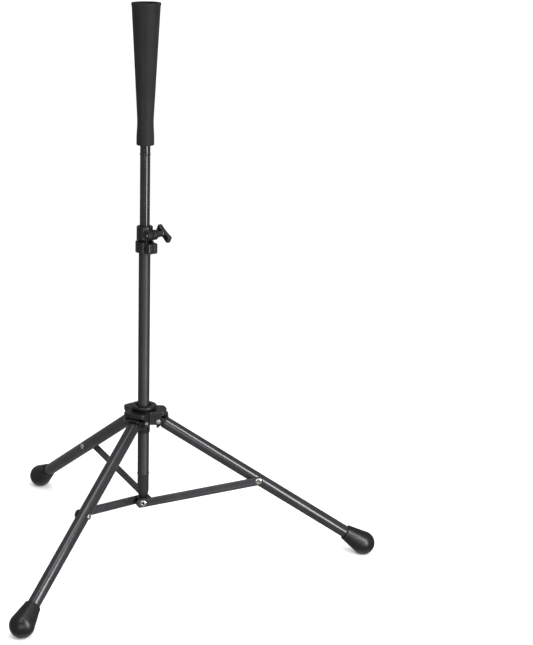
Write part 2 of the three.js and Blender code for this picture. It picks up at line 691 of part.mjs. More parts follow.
function legTube() {
  const pipe = alongX(tube(legR, legBore, tubeStart, tubeEnd));
  const hole = alongY(rod(RIVET_RADIUS + GAP, -REACH, REACH, FINE_SIDES)).translate(BRACE_ON_LEG, 0, 0);
  return cut(pipe, hole);
}

// The leg's half of the brace rivet: a shank from the brace's face through the tube, and its
// closed head behind.
function legRivet() {
  const shank = turned([
    [0, GAP - braceInner],
    [RIVET_RADIUS, GAP - braceInner],
    [RIVET_RADIUS, legR + GAP],
    [RIVET_HEAD_RADIUS, legR + GAP],
    [RIVET_HEAD_RADIUS - EDGE, legR + GAP + RIVET_HEAD],
    [0, legR + GAP + RIVET_HEAD],
  ], FINE_SIDES);
  return alongY(shank).translate(BRACE_ON_LEG, 0, 0);
}

// Rubber foot: a sleeve over the tube that widens straight into a ball, cut flat where it stands.
function legFoot() {
  const mouth = legLength - FOOT_SLEEVE_LENGTH;
  const inner = legR + GAP;
  const points = [
    [inner, mouth],
    [FOOT_SLEEVE_RADIUS - EDGE, mouth],
    [FOOT_SLEEVE_RADIUS, mouth + EDGE],
  ];
  const slant = Math.hypot(FOOT_SLEEVE_LENGTH - EDGE, FOOT_SLEEVE_RADIUS);
  const start = Math.atan2(FOOT_SLEEVE_RADIUS, FOOT_SLEEVE_LENGTH - EDGE) + Math.acos(FOOT_BALL / slant);
  for (let k = 0; k <= FOOT_STEPS; k += 1) {
    const angle = start + ((Math.PI - start) * k) / FOOT_STEPS;
    const radius = k === FOOT_STEPS ? 0 : FOOT_BALL * Math.sin(angle);
    points.push([radius, legLength - FOOT_BALL * Math.cos(angle)]);
  }
  points.push([0, tubeEnd + GAP], [inner, tubeEnd + GAP], [inner, mouth]);
  return alongX(turned(points, FOOT_SIDES));
}

// A flat strip with rounded ends, in the X-Z plane, from its column pivot along +X.
function brace() {
  const half = BRACE_WIDTH / 2;
  const tail = -half - BRACE_TAIL;
  const corner = BRACE_CORNER;
  const shape = new THREE.Shape();
  shape.moveTo(tail + corner, -half);
  shape.lineTo(braceLength, -half);
  shape.absarc(braceLength, 0, half, -Math.PI / 2, Math.PI / 2, false);
  shape.lineTo(tail + corner, half);
  shape.lineTo(tail, half - corner);
  shape.lineTo(tail, -half + corner);
  shape.closePath();
  for (const x of [0, braceLength]) {
    const hole = new THREE.Path();
    hole.absarc(x, 0, RIVET_RADIUS + GAP, 0, 2 * Math.PI, true);
    shape.holes.push(hole);
  }
  return extruded(shape, BRACE_THICKNESS, FINE_SIDES / 2).rotateX(Math.PI / 2);
}

// A hollow rivet along +Z: shank from z0 up to the brace's outer face, then its rolled head.
function eyelet(z0) {
  const seat = braceOuter + GAP;
  return turned([
    [0, z0],
    [RIVET_RADIUS, z0],
    [RIVET_RADIUS, seat],
    [RIVET_HEAD_RADIUS, seat],
    [RIVET_HEAD_RADIUS - RIVET_ROLL, seat + RIVET_HEAD - RIVET_ROLL],
    [RIVET_HEAD_RADIUS - 4 * RIVET_ROLL, seat + RIVET_HEAD],
    [RIVET_HOLE, seat + RIVET_HEAD - RIVET_ROLL],
    [RIVET_HOLE, seat - RIVET_DIMPLE],
    [0, seat - RIVET_DIMPLE],
  ], FINE_SIDES);
}

function hingePin() {
  const face = ARM_HALF_WIDTH + GAP;
  const pin = turned([
    [0, -face - PIN_HEAD],
    [PIN_HEAD_RADIUS - EDGE, -face - PIN_HEAD],
    [PIN_HEAD_RADIUS, -face - EDGE],
    [PIN_HEAD_RADIUS, -face],
    [PIN_RADIUS, -face],
    [PIN_RADIUS, face + PIN_TAIL],
    [0, face + PIN_TAIL],
  ], FINE_SIDES);
  return alongY(pin);
}

function pinClip() {
  const face = ARM_HALF_WIDTH + GAP;
  return alongY(tube(CLIP_RADIUS, PIN_RADIUS + GAP, face, face + CLIP_THICKNESS));
}

const LEG_NAMES = ['right', 'back', 'front'];
LEG_NAMES.forEach((side, i) => {
  const arm = new THREE.Group();
  arm.rotation.z = rad(120 * i);
  tee.add(arm);

  const hinge = new THREE.Group();
  hinge.position.set(PIVOT_RADIUS, 0, pivotHeight);
  arm.add(hinge);
  part(hinge, `hinge_pin_${side}`, 'zinc', hingePin());
  part(hinge, `pin_clip_${side}`, 'zinc', pinClip());

  const leg = new THREE.Group();
  leg.rotation.y = legAngle;
  hinge.add(leg);
  part(leg, `leg_fitting_${side}`, 'plastic', legFitting());
  part(leg, `leg_tube_${side}`, 'steel', legTube());
  part(leg, `leg_rivet_${side}`, 'zinc', legRivet());
  const under = 4 * FOOT_BALL;
  const floor = block([-under, -under, -under], [under, under, 0]).translate(0, 0, -pivotHeight);
  floor.translate(FOOT_RADIUS - PIVOT_RADIUS, 0, 0).rotateY(-legAngle);
  part(leg, `leg_foot_${side}`, 'rubber', cut(legFoot(), floor));

  const link = new THREE.Group();
  link.position.set(0, -braceInner, bracePivotHeight);
  link.rotation.y = -braceAngle;
  arm.add(link);
  part(link, `brace_${side}`, 'steel', brace());
  const onLeg = eyelet(braceInner).rotateX(Math.PI / 2);
  part(link, `brace_leg_rivet_${side}`, 'zinc', onLeg.translate(braceLength, braceInner, 0));
  const onColumn = eyelet(rivetTip).rotateX(Math.PI / 2);
  part(arm, `brace_column_rivet_${side}`, 'zinc', onColumn.translate(0, 0, bracePivotHeight));
});

export default tee;
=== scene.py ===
# %% [markdown]
# # A folding batting tee
# The tee is a rubber cone on a telescoping steel pole. A pinch collar with a T knob holds the
# pole in a wider column, and the column stands on three folding legs with flat braces.
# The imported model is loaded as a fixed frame, and each visible piece is modelled again in finer
# form round it. Sizes are in millimetres, and they become metres as a shape is made.

# %% Load the frame
import math

import bpy
from mathutils import Matrix, Vector


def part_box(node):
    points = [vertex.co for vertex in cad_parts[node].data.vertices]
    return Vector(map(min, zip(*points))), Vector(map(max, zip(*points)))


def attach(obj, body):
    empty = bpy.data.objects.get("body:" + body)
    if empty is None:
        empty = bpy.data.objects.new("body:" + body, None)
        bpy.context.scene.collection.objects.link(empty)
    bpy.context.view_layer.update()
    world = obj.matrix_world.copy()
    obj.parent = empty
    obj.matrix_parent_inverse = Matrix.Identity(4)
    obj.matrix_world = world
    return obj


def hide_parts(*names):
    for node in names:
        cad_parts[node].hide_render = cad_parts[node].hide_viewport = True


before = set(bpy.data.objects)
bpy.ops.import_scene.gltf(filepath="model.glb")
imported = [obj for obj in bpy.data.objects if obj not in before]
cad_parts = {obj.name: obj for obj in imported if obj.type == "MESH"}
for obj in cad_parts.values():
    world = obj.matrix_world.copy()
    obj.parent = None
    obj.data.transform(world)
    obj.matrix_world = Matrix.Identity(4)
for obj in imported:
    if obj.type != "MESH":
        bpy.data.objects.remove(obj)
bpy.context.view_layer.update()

MM = 0.001

# %% [markdown]
# The camera stands about three metres in front of the tee and looks down on it by some fourteen
# degrees. It is a long lens, so the legs are drawn without much widening, and the lens is shifted
# sideways because the tee stands left of the middle of the picture.

# %% Camera
COLUMN_X = (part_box("column_tube")[0].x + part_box("column_tube")[1].x) / 2
CAMERA_FROM_COLUMN = (-48.7, -3178.5, 1339.7)
CAMERA_YAW = math.radians(0.863)
CAMERA_PITCH = math.radians(14.122)
CAMERA_ROLL = math.radians(0.37)
SENSOR = 36
LENS = 97.758139534883723    # focal length, mm

camera = bpy.data.objects.new("studio_camera", bpy.data.cameras.new("studio_camera"))
bpy.context.collection.objects.link(camera)
camera.data.sensor_width = SENSOR
camera.data.lens = LENS
camera.data.shift_x = 0.19
camera.data.shift_y = -0.06
forward = Vector((
    math.sin(CAMERA_YAW) * math.cos(CAMERA_PITCH),
    math.cos(CAMERA_YAW) * math.cos(CAMERA_PITCH),
    -math.sin(CAMERA_PITCH),
))
level = Vector((math.cos(CAMERA_YAW), -math.sin(CAMERA_YAW), 0))
rise = level.cross(forward)
across = level * math.cos(CAMERA_ROLL) + rise * math.sin(CAMERA_ROLL)
upward = rise * math.cos(CAMERA_ROLL) - level * math.sin(CAMERA_ROLL)
turn = Matrix((across, upward, -forward)).transposed().to_4x4()
camera.matrix_world = Matrix.Translation(
    Vector(CAMERA_FROM_COLUMN) * MM + Vector((COLUMN_X, 0, 0))
) @ turn
bpy.context.scene.camera = camera
print("lens, mm:", round(LENS, 1))

# %% [markdown]
# ## Small tools
# Every shape is made by the same few hand moves: a profile drawn point by point, a profile spun
# round an axis, an outline raised to a plate, and solids joined to or cut from each other.

# %% Selection and placing
def nothing_selected():
    if bpy.context.object and bpy.context.object.mode != "OBJECT":
        bpy.ops.object.mode_set(mode="OBJECT")
    bpy.ops.object.select_all(action="DESELECT")


def pick(piece):
    nothing_selected()
    piece.select_set(True)
    bpy.context.view_layer.objects.active = piece


def apply(piece, kind, **settings):
    """Adds one modifier with its settings and applies it."""
    pick(piece)
    step = piece.modifiers.new(kind.lower(), kind)
    for name, value in settings.items():
        setattr(step, name, value)
    bpy.ops.object.modifier_apply(modifier=step.name)
    return piece


def lay(piece, place):
    """Moves a shape to its place and puts the place in its mesh."""
    pick(piece)
    piece.matrix_world = place
    bpy.ops.object.transform_apply(location=True, rotation=True, scale=True)
    return piece


def copy_of(piece, name):
    twin = piece.copy()
    twin.data = piece.data.copy()
    twin.name = name
    bpy.context.collection.objects.link(twin)
    return twin


def shift(x=0, y=0, z=0):
    return Matrix.Translation(Vector((x, y, z)) * MM)


def spun(degrees, axis):
    return Matrix.Rotation(math.radians(degrees), 4, axis)


TO_PLUS_Y = spun(-90, "X")      # lays a shape made along +Z along +Y
TO_MINUS_Y = spun(90, "X")
TO_PLUS_X = spun(90, "Y")


# %% Drawing a line of points
ARC_STEPS = 5


def rounded(points):
    """Turns (a, b) and (a, b, radius) corners of a closed outline into points with small arcs."""
    drawn = []
    for k, point in enumerate(points):
        corner = Vector(point[:2])
        radius = point[2] if len(point) > 2 else 0
        if radius == 0:
            drawn.append(corner)
            continue
        before = (Vector(points[k - 1][:2]) - corner).normalized()
        after = (Vector(points[(k + 1) % len(points)][:2]) - corner).normalized()
        half = before.angle(after) / 2
        middle = corner + (before + after).normalized() * radius / math.sin(half)
        start = corner + before * radius / math.tan(half) - middle
        end = corner + after * radius / math.tan(half) - middle
        for step in range(ARC_STEPS + 1):
            drawn.append(middle + start.lerp(end, step / ARC_STEPS).normalized() * radius)
    return drawn


def draw(name, points, closed):
    """One vertex, extruded from point to point, in metres. Leaves the line in edit mode."""
    nothing_selected()
    bpy.ops.mesh.primitive_plane_add(size=MM, location=(0, 0, 0))
    piece = bpy.context.object
    piece.name = name
    bpy.ops.object.mode_set(mode="EDIT")
    bpy.ops.mesh.merge(type="CENTER")
    bpy.ops.transform.translate(value=points[0])
    for before, after in zip(points, points[1:]):
        step = {"value": after - before}
        bpy.ops.mesh.extrude_vertices_move(TRANSFORM_OT_translate=step)
    bpy.ops.mesh.select_all(action="SELECT")
    if closed:
        bpy.ops.mesh.remove_doubles(threshold=1e-7)
        bpy.ops.mesh.select_all(action="SELECT")
    return piece


# %% Turned shapes
TURN_STEPS = 64
SHARP = math.radians(38)


def tidy(piece):
    """Merges doubled points and turns the faces outward."""
    bpy.ops.object.mode_set(mode="EDIT")
    bpy.ops.mesh.select_all(action="SELECT")
    bpy.ops.mesh.remove_doubles(threshold=2e-6)
    bpy.ops.mesh.normals_make_consistent(inside=False)
    bpy.ops.object.mode_set(mode="OBJECT")
    return piece


def smooth(piece, angle=SHARP):
    pick(piece)
    bpy.ops.object.shade_smooth_by_angle(angle=angle)
    return piece


def turned(name, profile, steps=TURN_STEPS):
    """Spins a closed profile of (radius, height) corners round Z."""
    outline = rounded(profile)
    points = [Vector((max(p.x, 0), 0, p.y)) * MM for p in outline]
    points.append(points[0].copy())
    piece = draw(name, points, closed=True)
    bpy.ops.mesh.spin(steps=steps, angle=math.tau, center=(0, 0, 0), axis=(0, 0, 1))
    bpy.ops.object.mode_set(mode="OBJECT")
    pick(piece)
    tidy(piece)
    return smooth(piece)


def rod(radius, start, end, steps=TURN_STEPS):
    """A plain round solid along Z between two heights, for joining and cutting."""
    nothing_selected()
    bpy.ops.mesh.primitive_cylinder_add(
        vertices=steps, radius=radius * MM, depth=(end - start) * MM,
        location=(0, 0, (start + end) / 2 * MM),
    )
    return lay(bpy.context.object, bpy.context.object.matrix_world.copy())


def block(low, high, edge=0):
    """A box between two corners, with its edges rounded where edge is given."""
    low, high = Vector(low) * MM, Vector(high) * MM
    nothing_selected()
    bpy.ops.mesh.primitive_cube_add(size=1, location=(low + high) / 2)
    piece = bpy.context.object
    piece.scale = high - low
    bpy.ops.object.transform_apply(location=True, rotation=True, scale=True)
    if edge:
        apply(piece, "BEVEL", width=edge * MM, segments=4)
    return piece


def plate(name, outline, low, high):
    """Raises a closed outline from one height to another."""
    points = [Vector((p.x, p.y, low)) * MM for p in rounded(outline)]
    points.append(points[0].copy())
    piece = draw(name, points, closed=True)
    bpy.ops.mesh.edge_face_add()
    raise_by = {"value": (0, 0, (high - low) * MM)}
    bpy.ops.mesh.extrude_region_move(TRANSFORM_OT_translate=raise_by)
    bpy.ops.object.mode_set(mode="OBJECT")
    pick(piece)
    return tidy(piece)


# %% Joining, cutting and softening
def combine(piece, operation, others):
    for other in others:
        apply(piece, "BOOLEAN", operation=operation, object=other, solver="EXACT")
        bpy.data.objects.remove(other)
    return piece


def join(piece, *others):
    return combine(piece, "UNION", others)


def cut(piece, *others):
    return combine(piece, "DIFFERENCE", others)


def soften(piece, grain, passes, keep=0.5):
    """Gives every edge the small radius that a moulding tool leaves: remeshed, then smoothed."""
    apply(piece, "REMESH", mode="VOXEL", voxel_size=grain * MM)
    apply(piece, "SMOOTH", factor=0.5, iterations=passes)
    apply(piece, "DECIMATE", ratio=keep)
    pick(piece)
    tidy(piece)
    bpy.ops.object.shade_smooth()
    return piece


def size_of(piece):
    corners = [piece.matrix_world @ Vector(c) for c in piece.bound_box]
    low = Vector(min(c[k] for c in corners) for k in range(3))
    high = Vector(max(c[k] for c in corners) for k in range(3))
    return low, high


def settle(piece, place, material, body, slot, *nodes):
    """Lays a finished piece, gives it its finish and hands it to its body."""
    lay(piece, place)
    piece.data.materials.clear()
    piece.data.materials.append(material)
    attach(piece, body)
    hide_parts(*nodes)
    bpy.context.view_layer.update()
    low, high = size_of(piece)
    old = [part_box(node) for node in nodes]
    gap = max(
        max(abs(low[k] - min(o[0][k] for o in old)), abs(high[k] - max(o[1][k] for o in old)))
        for k in range(3)
    )
    print(piece.name, len(piece.data.polygons), "faces, box within", round(gap / MM, 2), "mm")
    return piece


# %% [markdown]
# ## Finishes
# Colours are written as sRGB hex and turned to linear light by one function, and one function
# adds a node with its settings and links.

# %% Colour and node helpers
def linear(hex_colour, alpha=1.0):
    def channel(pair):
        value = int(pair, 16) / 255
        return value / 12.92 if value <= 0.04045 else ((value + 0.055) / 1.055) ** 2.4
    return (*(channel(hex_colour[k:k + 2]) for k in (1, 3, 5)), alpha)


def add(tree, kind, inputs=None, **settings):
    """Adds a node. A setting is a property; an input is a value or a socket to link."""
    node = tree.nodes.new(kind)
    for name, value in settings.items():
        setattr(node, name, value)
    for name, value in (inputs or {}).items():
        if isinstance(value, bpy.types.NodeSocket):
            tree.links.new(value, node.inputs[name])
        else:
            node.inputs[name].default_value = value
    return node


def per_mm(millimetres):
    """A texture scale whose pattern repeats about every so many millimetres."""
    return 1 / (millimetres * MM)


def blank(name):
    material = bpy.data.materials.new(name)
    material.use_nodes = True
    tree = material.node_tree
    tree.nodes.clear()
    place = add(tree, "ShaderNodeTexCoord").outputs["Object"]
    return material, tree, place


def noise(tree, place, size, detail=3.0, stretch=(1, 1, 1)):
    """Noise of a real size in millimetres, drawn out along an axis where stretch is under 1."""
    mapped = add(tree, "ShaderNodeMapping", {"Vector": place, "Scale": stretch})
    return add(tree, "ShaderNodeTexNoise", {
        "Vector": mapped.outputs["Vector"], "Scale": per_mm(size), "Detail": detail,
    }).outputs["Fac"]


def spread(tree, value, low, high):
    """Spreads a pattern between two values."""
    return add(tree, "ShaderNodeMapRange", {
        "Value": value, "From Min": 0.3, "From Max": 0.7, "To Min": low, "To Max": high,
    }).outputs["Result"]


def blend_colours(tree, factor, first, second):
    mix = add(tree, "ShaderNodeMix", {"Factor": factor}, data_type="RGBA")
    for socket, colour in ((mix.inputs[6], first), (mix.inputs[7], second)):
        if isinstance(colour, str):
            socket.default_value = linear(colour)
        else:
            tree.links.new(colour, socket)
    return mix.outputs[2]


def bumped(tree, height, depth, before=None):
    """Turns a pattern into relief, depth in millimetres."""
    inputs = {"Height": height, "Strength": 1.0, "Distance": depth * MM}
    if before is not None:
        inputs["Normal"] = before
    return add(tree, "ShaderNodeBump", inputs).outputs["Normal"]


def surface(tree, colour, roughness, normal, **constants):
    """The shader. Constants go on its own sockets, named with underscores for spaces."""
    shader = add(tree, "ShaderNodeBsdfPrincipled", {
        "Base Color": colour, "Roughness": roughness, "Normal": normal,
    })
    for name, value in constants.items():
        shader.inputs[name.replace("_", " ")].default_value = value
    add(tree, "ShaderNodeOutputMaterial", {"Surface": shader.outputs[0]})


# %% [markdown]
# ### Powder-coated steel
# Tubes and strips are mild steel with a baked black powder coat, gloss on the pole and the legs
# and satin on the column. The powder flows out as it
# melts and leaves a faint orange peel, which breaks the long highlights a little. The peel is
# finer than the eye can see from here, so it is drawn a few millimetres wide.

# %% Powder coat
def powder_coat(name, colour, light, roughness, peel, shine=0.5):
    material, tree, place = blank(name)
    cloud = noise(tree, place, 60)
    fine = noise(tree, place, 3)
    tone = blend_colours(tree, spread(tree, cloud, 0, 1), colour, light)
    drawn = noise(tree, place, 25, stretch=(1, 1, 0.2))
    rough = spread(tree, drawn, roughness - 0.03, roughness + 0.05)
    wave = bumped(tree, noise(tree, place, 9, detail=1.0), peel)
    skin = bumped(tree, fine, peel / 4, wave)
    surface(tree, tone, rough, skin, Specular_IOR_Level=shine)
    return material


TUBE_COAT = powder_coat("gloss_black_powder_coat_tube", "#1b1b1d", "#242427", 0.2, 0.04)
POLE_COAT = powder_coat("gloss_black_powder_coat_pole", "#161618", "#1e1e20", 0.1, 0.02)
STRIP_COAT = powder_coat("gloss_black_powder_coat_strip", "#202022", "#2a2a2d", 0.26, 0.04)
COLUMN_COAT = powder_coat("satin_black_powder_coat_column", "#18181a", "#212123", 0.42, 0.04, 0.3)


# %% [markdown]
# ### Moulded rubber
# The cone is matt natural rubber. It is pushed upward as the mould fills, so faint streaks run
# along it, and a dull bloom lies on top. The feet are the same rubber from a polished mould, so
# they are glossier, and dust settles on the part near the floor.

# %% Rubber
def cone_rubber():
    material, tree, place = blank("matt_black_moulded_rubber")
    streak = noise(tree, place, 5, stretch=(1, 1, 0.03))
    bloom = noise(tree, place, 45)
    tone = blend_colours(tree, spread(tree, streak, 0, 1), "#121212", "#1a1a1a")
    tone = blend_colours(tree, spread(tree, bloom, 0, 0.35), tone, "#202020")
    rough = spread(tree, streak, 0.56, 0.72)
    grain = bumped(tree, noise(tree, place, 1.6), 0.05)
    flow = bumped(tree, streak, 0.08, grain)
    surface(tree, tone, rough, flow, Specular_IOR_Level=0.13, Sheen_Weight=0.02)
    return material


DUST_TOP = 16      # height on a foot where the floor dust ends, mm


def foot_rubber():
    material, tree, place = blank("satin_black_moulded_rubber")
    height = add(tree, "ShaderNodeSeparateXYZ", {"Vector": place}).outputs["Z"]
    low = add(tree, "ShaderNodeMapRange", {
        "Value": height, "From Min": 0.0, "From Max": DUST_TOP * MM, "To Min": 0.55, "To Max": 0.0,
    }).outputs["Result"]
    patch = noise(tree, place, 7)
    dust = add(tree, "ShaderNodeMath", {0: low, 1: patch}, operation="MULTIPLY").outputs[0]
    tone = blend_colours(tree, spread(tree, patch, 0, 1), "#0c0c0c", "#111112")
    tone = blend_colours(tree, dust, tone, "#6e6b66")
    rough = spread(tree, noise(tree, place, 12), 0.3, 0.42)
    scuff = bumped(tree, noise(tree, place, 2), 0.04)
    surface(tree, tone, rough, scuff, Specular_IOR_Level=0.42)
    return material


CONE_RUBBER = cone_rubber()
FOOT_RUBBER = foot_rubber()


# %% [markdown]
# ### Moulded plastics
# The collar, hub and fittings are glass-filled nylon from a spark-eroded mould: satin, with a fine
# even grain and slightly polished edges. The T knob is harder and comes from a polished mould.

# %% Plastics
def nylon():
    material, tree, place = blank("satin_black_glass_filled_nylon")
    cloud = noise(tree, place, 14)
    edge = add(tree, "ShaderNodeNewGeometry").outputs["Pointiness"]
    worn = add(tree, "ShaderNodeMapRange", {
        "Value": edge, "From Min": 0.53, "From Max": 0.62, "To Min": 0.0, "To Max": 0.5,
    }).outputs["Result"]
    tone = blend_colours(tree, spread(tree, cloud, 0, 1), "#0b0b0c", "#121213")
    tone = blend_colours(tree, worn, tone, "#1f1f21")
    rough = spread(tree, noise(tree, place, 3), 0.28, 0.4)
    grain = bumped(tree, noise(tree, place, 0.9), 0.03)
    surface(tree, tone, rough, grain, Specular_IOR_Level=0.42)
    return material


def knob_plastic():
    material, tree, place = blank("polished_black_abs")
    cloud = noise(tree, place, 10)
    tone = blend_colours(tree, spread(tree, cloud, 0, 1), "#0b0c0d", "#131416")
    rough = spread(tree, noise(tree, place, 6), 0.12, 0.2)
    sink = bumped(tree, noise(tree, place, 8, detail=1.0), 0.05)
    surface(tree, tone, rough, sink, Coat_Weight=1.0, Coat_Roughness=0.08)
    return material


NYLON = nylon()
KNOB_PLASTIC = knob_plastic()


# %% [markdown]
# ### Plated metal
# The hollow rivets are bright nickel over steel, rolled over by a spinning tool that leaves fine
# rings. The hinge pins, their clips and the knob's bolt are dull zinc with a patchy crystal
# bloom. The clamp's nut and washer and both small screws are blackened steel. The same dark
# finish goes on the inside of each rivet as painted shade in the hole.

# %% Plating
def nickel():
    material, tree, place = blank("bright_nickel_plate")
    cloud = noise(tree, place, 2.5)
    tone = blend_colours(tree, spread(tree, cloud, 0, 1), "#d6d3cc", "#ece9e3")
    rough = spread(tree, noise(tree, place, 1.2), 0.14, 0.26)
    tool = bumped(tree, noise(tree, place, 0.8), 0.02)
    surface(tree, tone, rough, tool, Metallic=1.0)
    return material


def zinc():
    material, tree, place = blank("dull_zinc_plate")
    crystal = add(
        tree, "ShaderNodeTexVoronoi", {"Vector": place, "Scale": per_mm(1.6)},
    ).outputs["Color"]
    tone = blend_colours(tree, crystal, "#9fa2a5", "#c3c6c9")
    rough = spread(tree, noise(tree, place, 2), 0.26, 0.4)
    skin = bumped(tree, noise(tree, place, 1.0), 0.03)
    surface(tree, tone, rough, skin, Metallic=1.0)
    return material


def black_oxide():
    material, tree, place = blank("black_oxide_steel_and_hole_shade")
    cloud = noise(tree, place, 2)
    tone = blend_colours(tree, spread(tree, cloud, 0, 1), "#2c2d2f", "#4a4b4d")
    rough = spread(tree, noise(tree, place, 1.5), 0.3, 0.45)
    skin = bumped(tree, noise(tree, place, 1.0), 0.02)
    surface(tree, tone, rough, skin, Metallic=1.0)
    return material


# The black oxide finish is also the painted shade inside each rivet's hole.
NICKEL = nickel()
ZINC = zinc()
BLACK_OXIDE_AND_HOLE_SHADE = black_oxide()
FINISHES = (
    TUBE_COAT, POLE_COAT, STRIP_COAT, COLUMN_COAT, CONE_RUBBER, FOOT_RUBBER, NYLON, KNOB_PLASTIC,
    NICKEL, ZINC, BLACK_OXIDE_AND_HOLE_SHADE,
)
print("finishes:", [finish.name for finish in FINISHES])

# %% [markdown]
# ## The column
# The lower tube is plain steel tube. A bead is rolled into it above its foot, and the last
# stretch is swaged smaller round a moulded plug. A tube is a surface of revolution, so its
# outline is drawn once and spun round the column's axis.

# %% Column tube
CLEARANCE = 0.3
COLUMN_LOW, COLUMN_HIGH = (corner.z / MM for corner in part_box("column_tube"))
COLUMN_RADIUS = 11.0
COLUMN_BORE = 9.8
BEYOND = 60         # a cutting tool's reach, clear of every piece
SWAGE_HEIGHT = 12
SWAGE_DROP = 2.6
COLUMN_BEAD = COLUMN_LOW + 45.5
BEAD_STEPS = 8
ON_COLUMN = Matrix.Translation((COLUMN_X, 0, 0))


def bead(radius, height, proud=1.0, half=2.0):
    """The rolled bead's outline, a raised half wave."""
    points = []
    for step in range(BEAD_STEPS + 1):
        along = step / BEAD_STEPS * 2 - 1
        swell = (1 + math.cos(math.pi * along)) / 2
        points.append((radius + proud * swell, height + half * along))
    return points


column = turned("column_painted_tube", [
    (COLUMN_BORE - SWAGE_DROP, COLUMN_LOW, 0.4),
    (COLUMN_RADIUS - SWAGE_DROP, COLUMN_LOW, 0.5),
    (COLUMN_RADIUS - SWAGE_DROP * 0.55, COLUMN_LOW + SWAGE_HEIGHT * 0.35),
    (COLUMN_RADIUS - SWAGE_DROP * 0.15, COLUMN_LOW + SWAGE_HEIGHT * 0.75),
    (COLUMN_RADIUS, COLUMN_LOW + SWAGE_HEIGHT + 2),
    *bead(COLUMN_RADIUS, COLUMN_BEAD),
    (COLUMN_RADIUS, COLUMN_HIGH, 0.4),
    (COLUMN_BORE, COLUMN_HIGH, 0.4),
    (COLUMN_BORE, COLUMN_LOW + SWAGE_HEIGHT),
])
settle(column, ON_COLUMN, COLUMN_COAT, "column", "painted_tube", "column_tube")

# %% [markdown]
# The plug in the column's foot is a nylon moulding. Three flats on it carry the braces. The flats
# are made by cutting a round blank with a plane three times, as a saw would.

# %% Plug with three flats
PLUG_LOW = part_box("column_bottom_plug")[0].z / MM
PLUG_BLOCK = 17
PLUG_RADIUS = 13.4
FLAT_AT = 11.7
LEGS = ("right", "back", "front")


def flatten(piece, angle, reach):
    """Cuts a piece flat on the side that faces an angle, reach millimetres from the axis."""
    facing = Vector((math.cos(math.radians(angle)), math.sin(math.radians(angle)), 0))
    pick(piece)
    bpy.ops.object.mode_set(mode="EDIT")
    bpy.ops.mesh.select_all(action="SELECT")
    bpy.ops.mesh.bisect(
        plane_co=facing * reach * MM, plane_no=facing, use_fill=True, clear_outer=True,
    )
    bpy.ops.object.mode_set(mode="OBJECT")


plug = rod(PLUG_RADIUS, PLUG_LOW, PLUG_LOW + PLUG_BLOCK)
plug.name = "column_foot_plug"
for number in range(len(LEGS)):
    flatten(plug, 120 * number - 90, FLAT_AT)
apply(plug, "BEVEL", width=0.7 * MM, segments=3, angle_limit=math.radians(40))
stem = rod(COLUMN_BORE - SWAGE_DROP - CLEARANCE, PLUG_LOW + PLUG_BLOCK - 1, COLUMN_LOW + 2)
PLUG_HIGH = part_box("column_bottom_plug")[1].z / MM
SPIGOT_RADIUS = COLUMN_BORE - CLEARANCE
spigot = turned("plug_spigot", [
    (0, COLUMN_LOW + 1), (SPIGOT_RADIUS - SWAGE_DROP, COLUMN_LOW + 1),
    (SPIGOT_RADIUS, COLUMN_LOW + SWAGE_HEIGHT + 1), (SPIGOT_RADIUS, PLUG_HIGH, 1), (0, PLUG_HIGH),
])
join(plug, stem, spigot)
smooth(plug)
settle(plug, ON_COLUMN, NYLON, "column", "black_nylon", "column_bottom_plug")

# %% [markdown]
# ## The upper pole and the cone
# The pole slides in the column. It is smaller and glossier tube, with a bead just under the cone.

# %% Pole
POLE_LOW, POLE_HIGH = (corner.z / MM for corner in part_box("upper_pole"))
CONE_LOW, CONE_HIGH = (corner.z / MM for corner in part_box("tee_cone"))
POLE_RADIUS = 9.5
POLE_BORE = 8.4
POLE_BEAD = CONE_LOW - 17

pole = turned("pole_painted_tube", [
    (POLE_BORE, POLE_LOW, 0.4),
    (POLE_RADIUS, POLE_LOW, 0.4),
    *bead(POLE_RADIUS, POLE_BEAD),
    (POLE_RADIUS, POLE_HIGH, 0.4),
    (POLE_BORE, POLE_HIGH, 0.4),
])
settle(pole, ON_COLUMN, POLE_COAT, "pole", "painted_tube", "upper_pole")

CAP_LOW, CAP_HIGH = (corner.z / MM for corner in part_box("pole_top_plug"))
cap = turned("pole_end_cap", [
    (0, CAP_LOW),
    (POLE_BORE - CLEARANCE, CAP_LOW, 0.6),
    (POLE_BORE - CLEARANCE, POLE_HIGH + CLEARANCE),
    (POLE_RADIUS, POLE_HIGH + CLEARANCE, 0.3),
    (POLE_RADIUS, CAP_HIGH, 1.2),
    (5, CAP_HIGH, 0.3),
    (4.4, CAP_HIGH - 0.8, 0.3),
    (0, CAP_HIGH - 0.8),
])
settle(cap, ON_COLUMN, NYLON, "pole", "black_nylon", "pole_top_plug")

# %% [markdown]
# The cone is one rubber moulding: a straight foot that grips the pole, a narrow waist, and a wall
# that widens evenly to the mouth where the ball sits. The wall is hollow, so the inside is part
# of the same outline. The rim is a little roll.

# %% Rubber cone
CONE_WAIST_HEIGHT = CONE_LOW + 46
CONE_MOUTH = 26.6
CONE_WAIST = 15.2
CONE_FOOT = 16.4
CONE_WALL = 3.4
SOCKET_TOP = CAP_HIGH + CLEARANCE
share = (SOCKET_TOP - CONE_WAIST_HEIGHT) / (CONE_HIGH - CONE_WAIST_HEIGHT)
WALL_AT_SOCKET = CONE_WAIST + (CONE_MOUTH - CONE_WAIST) * share - CONE_WALL

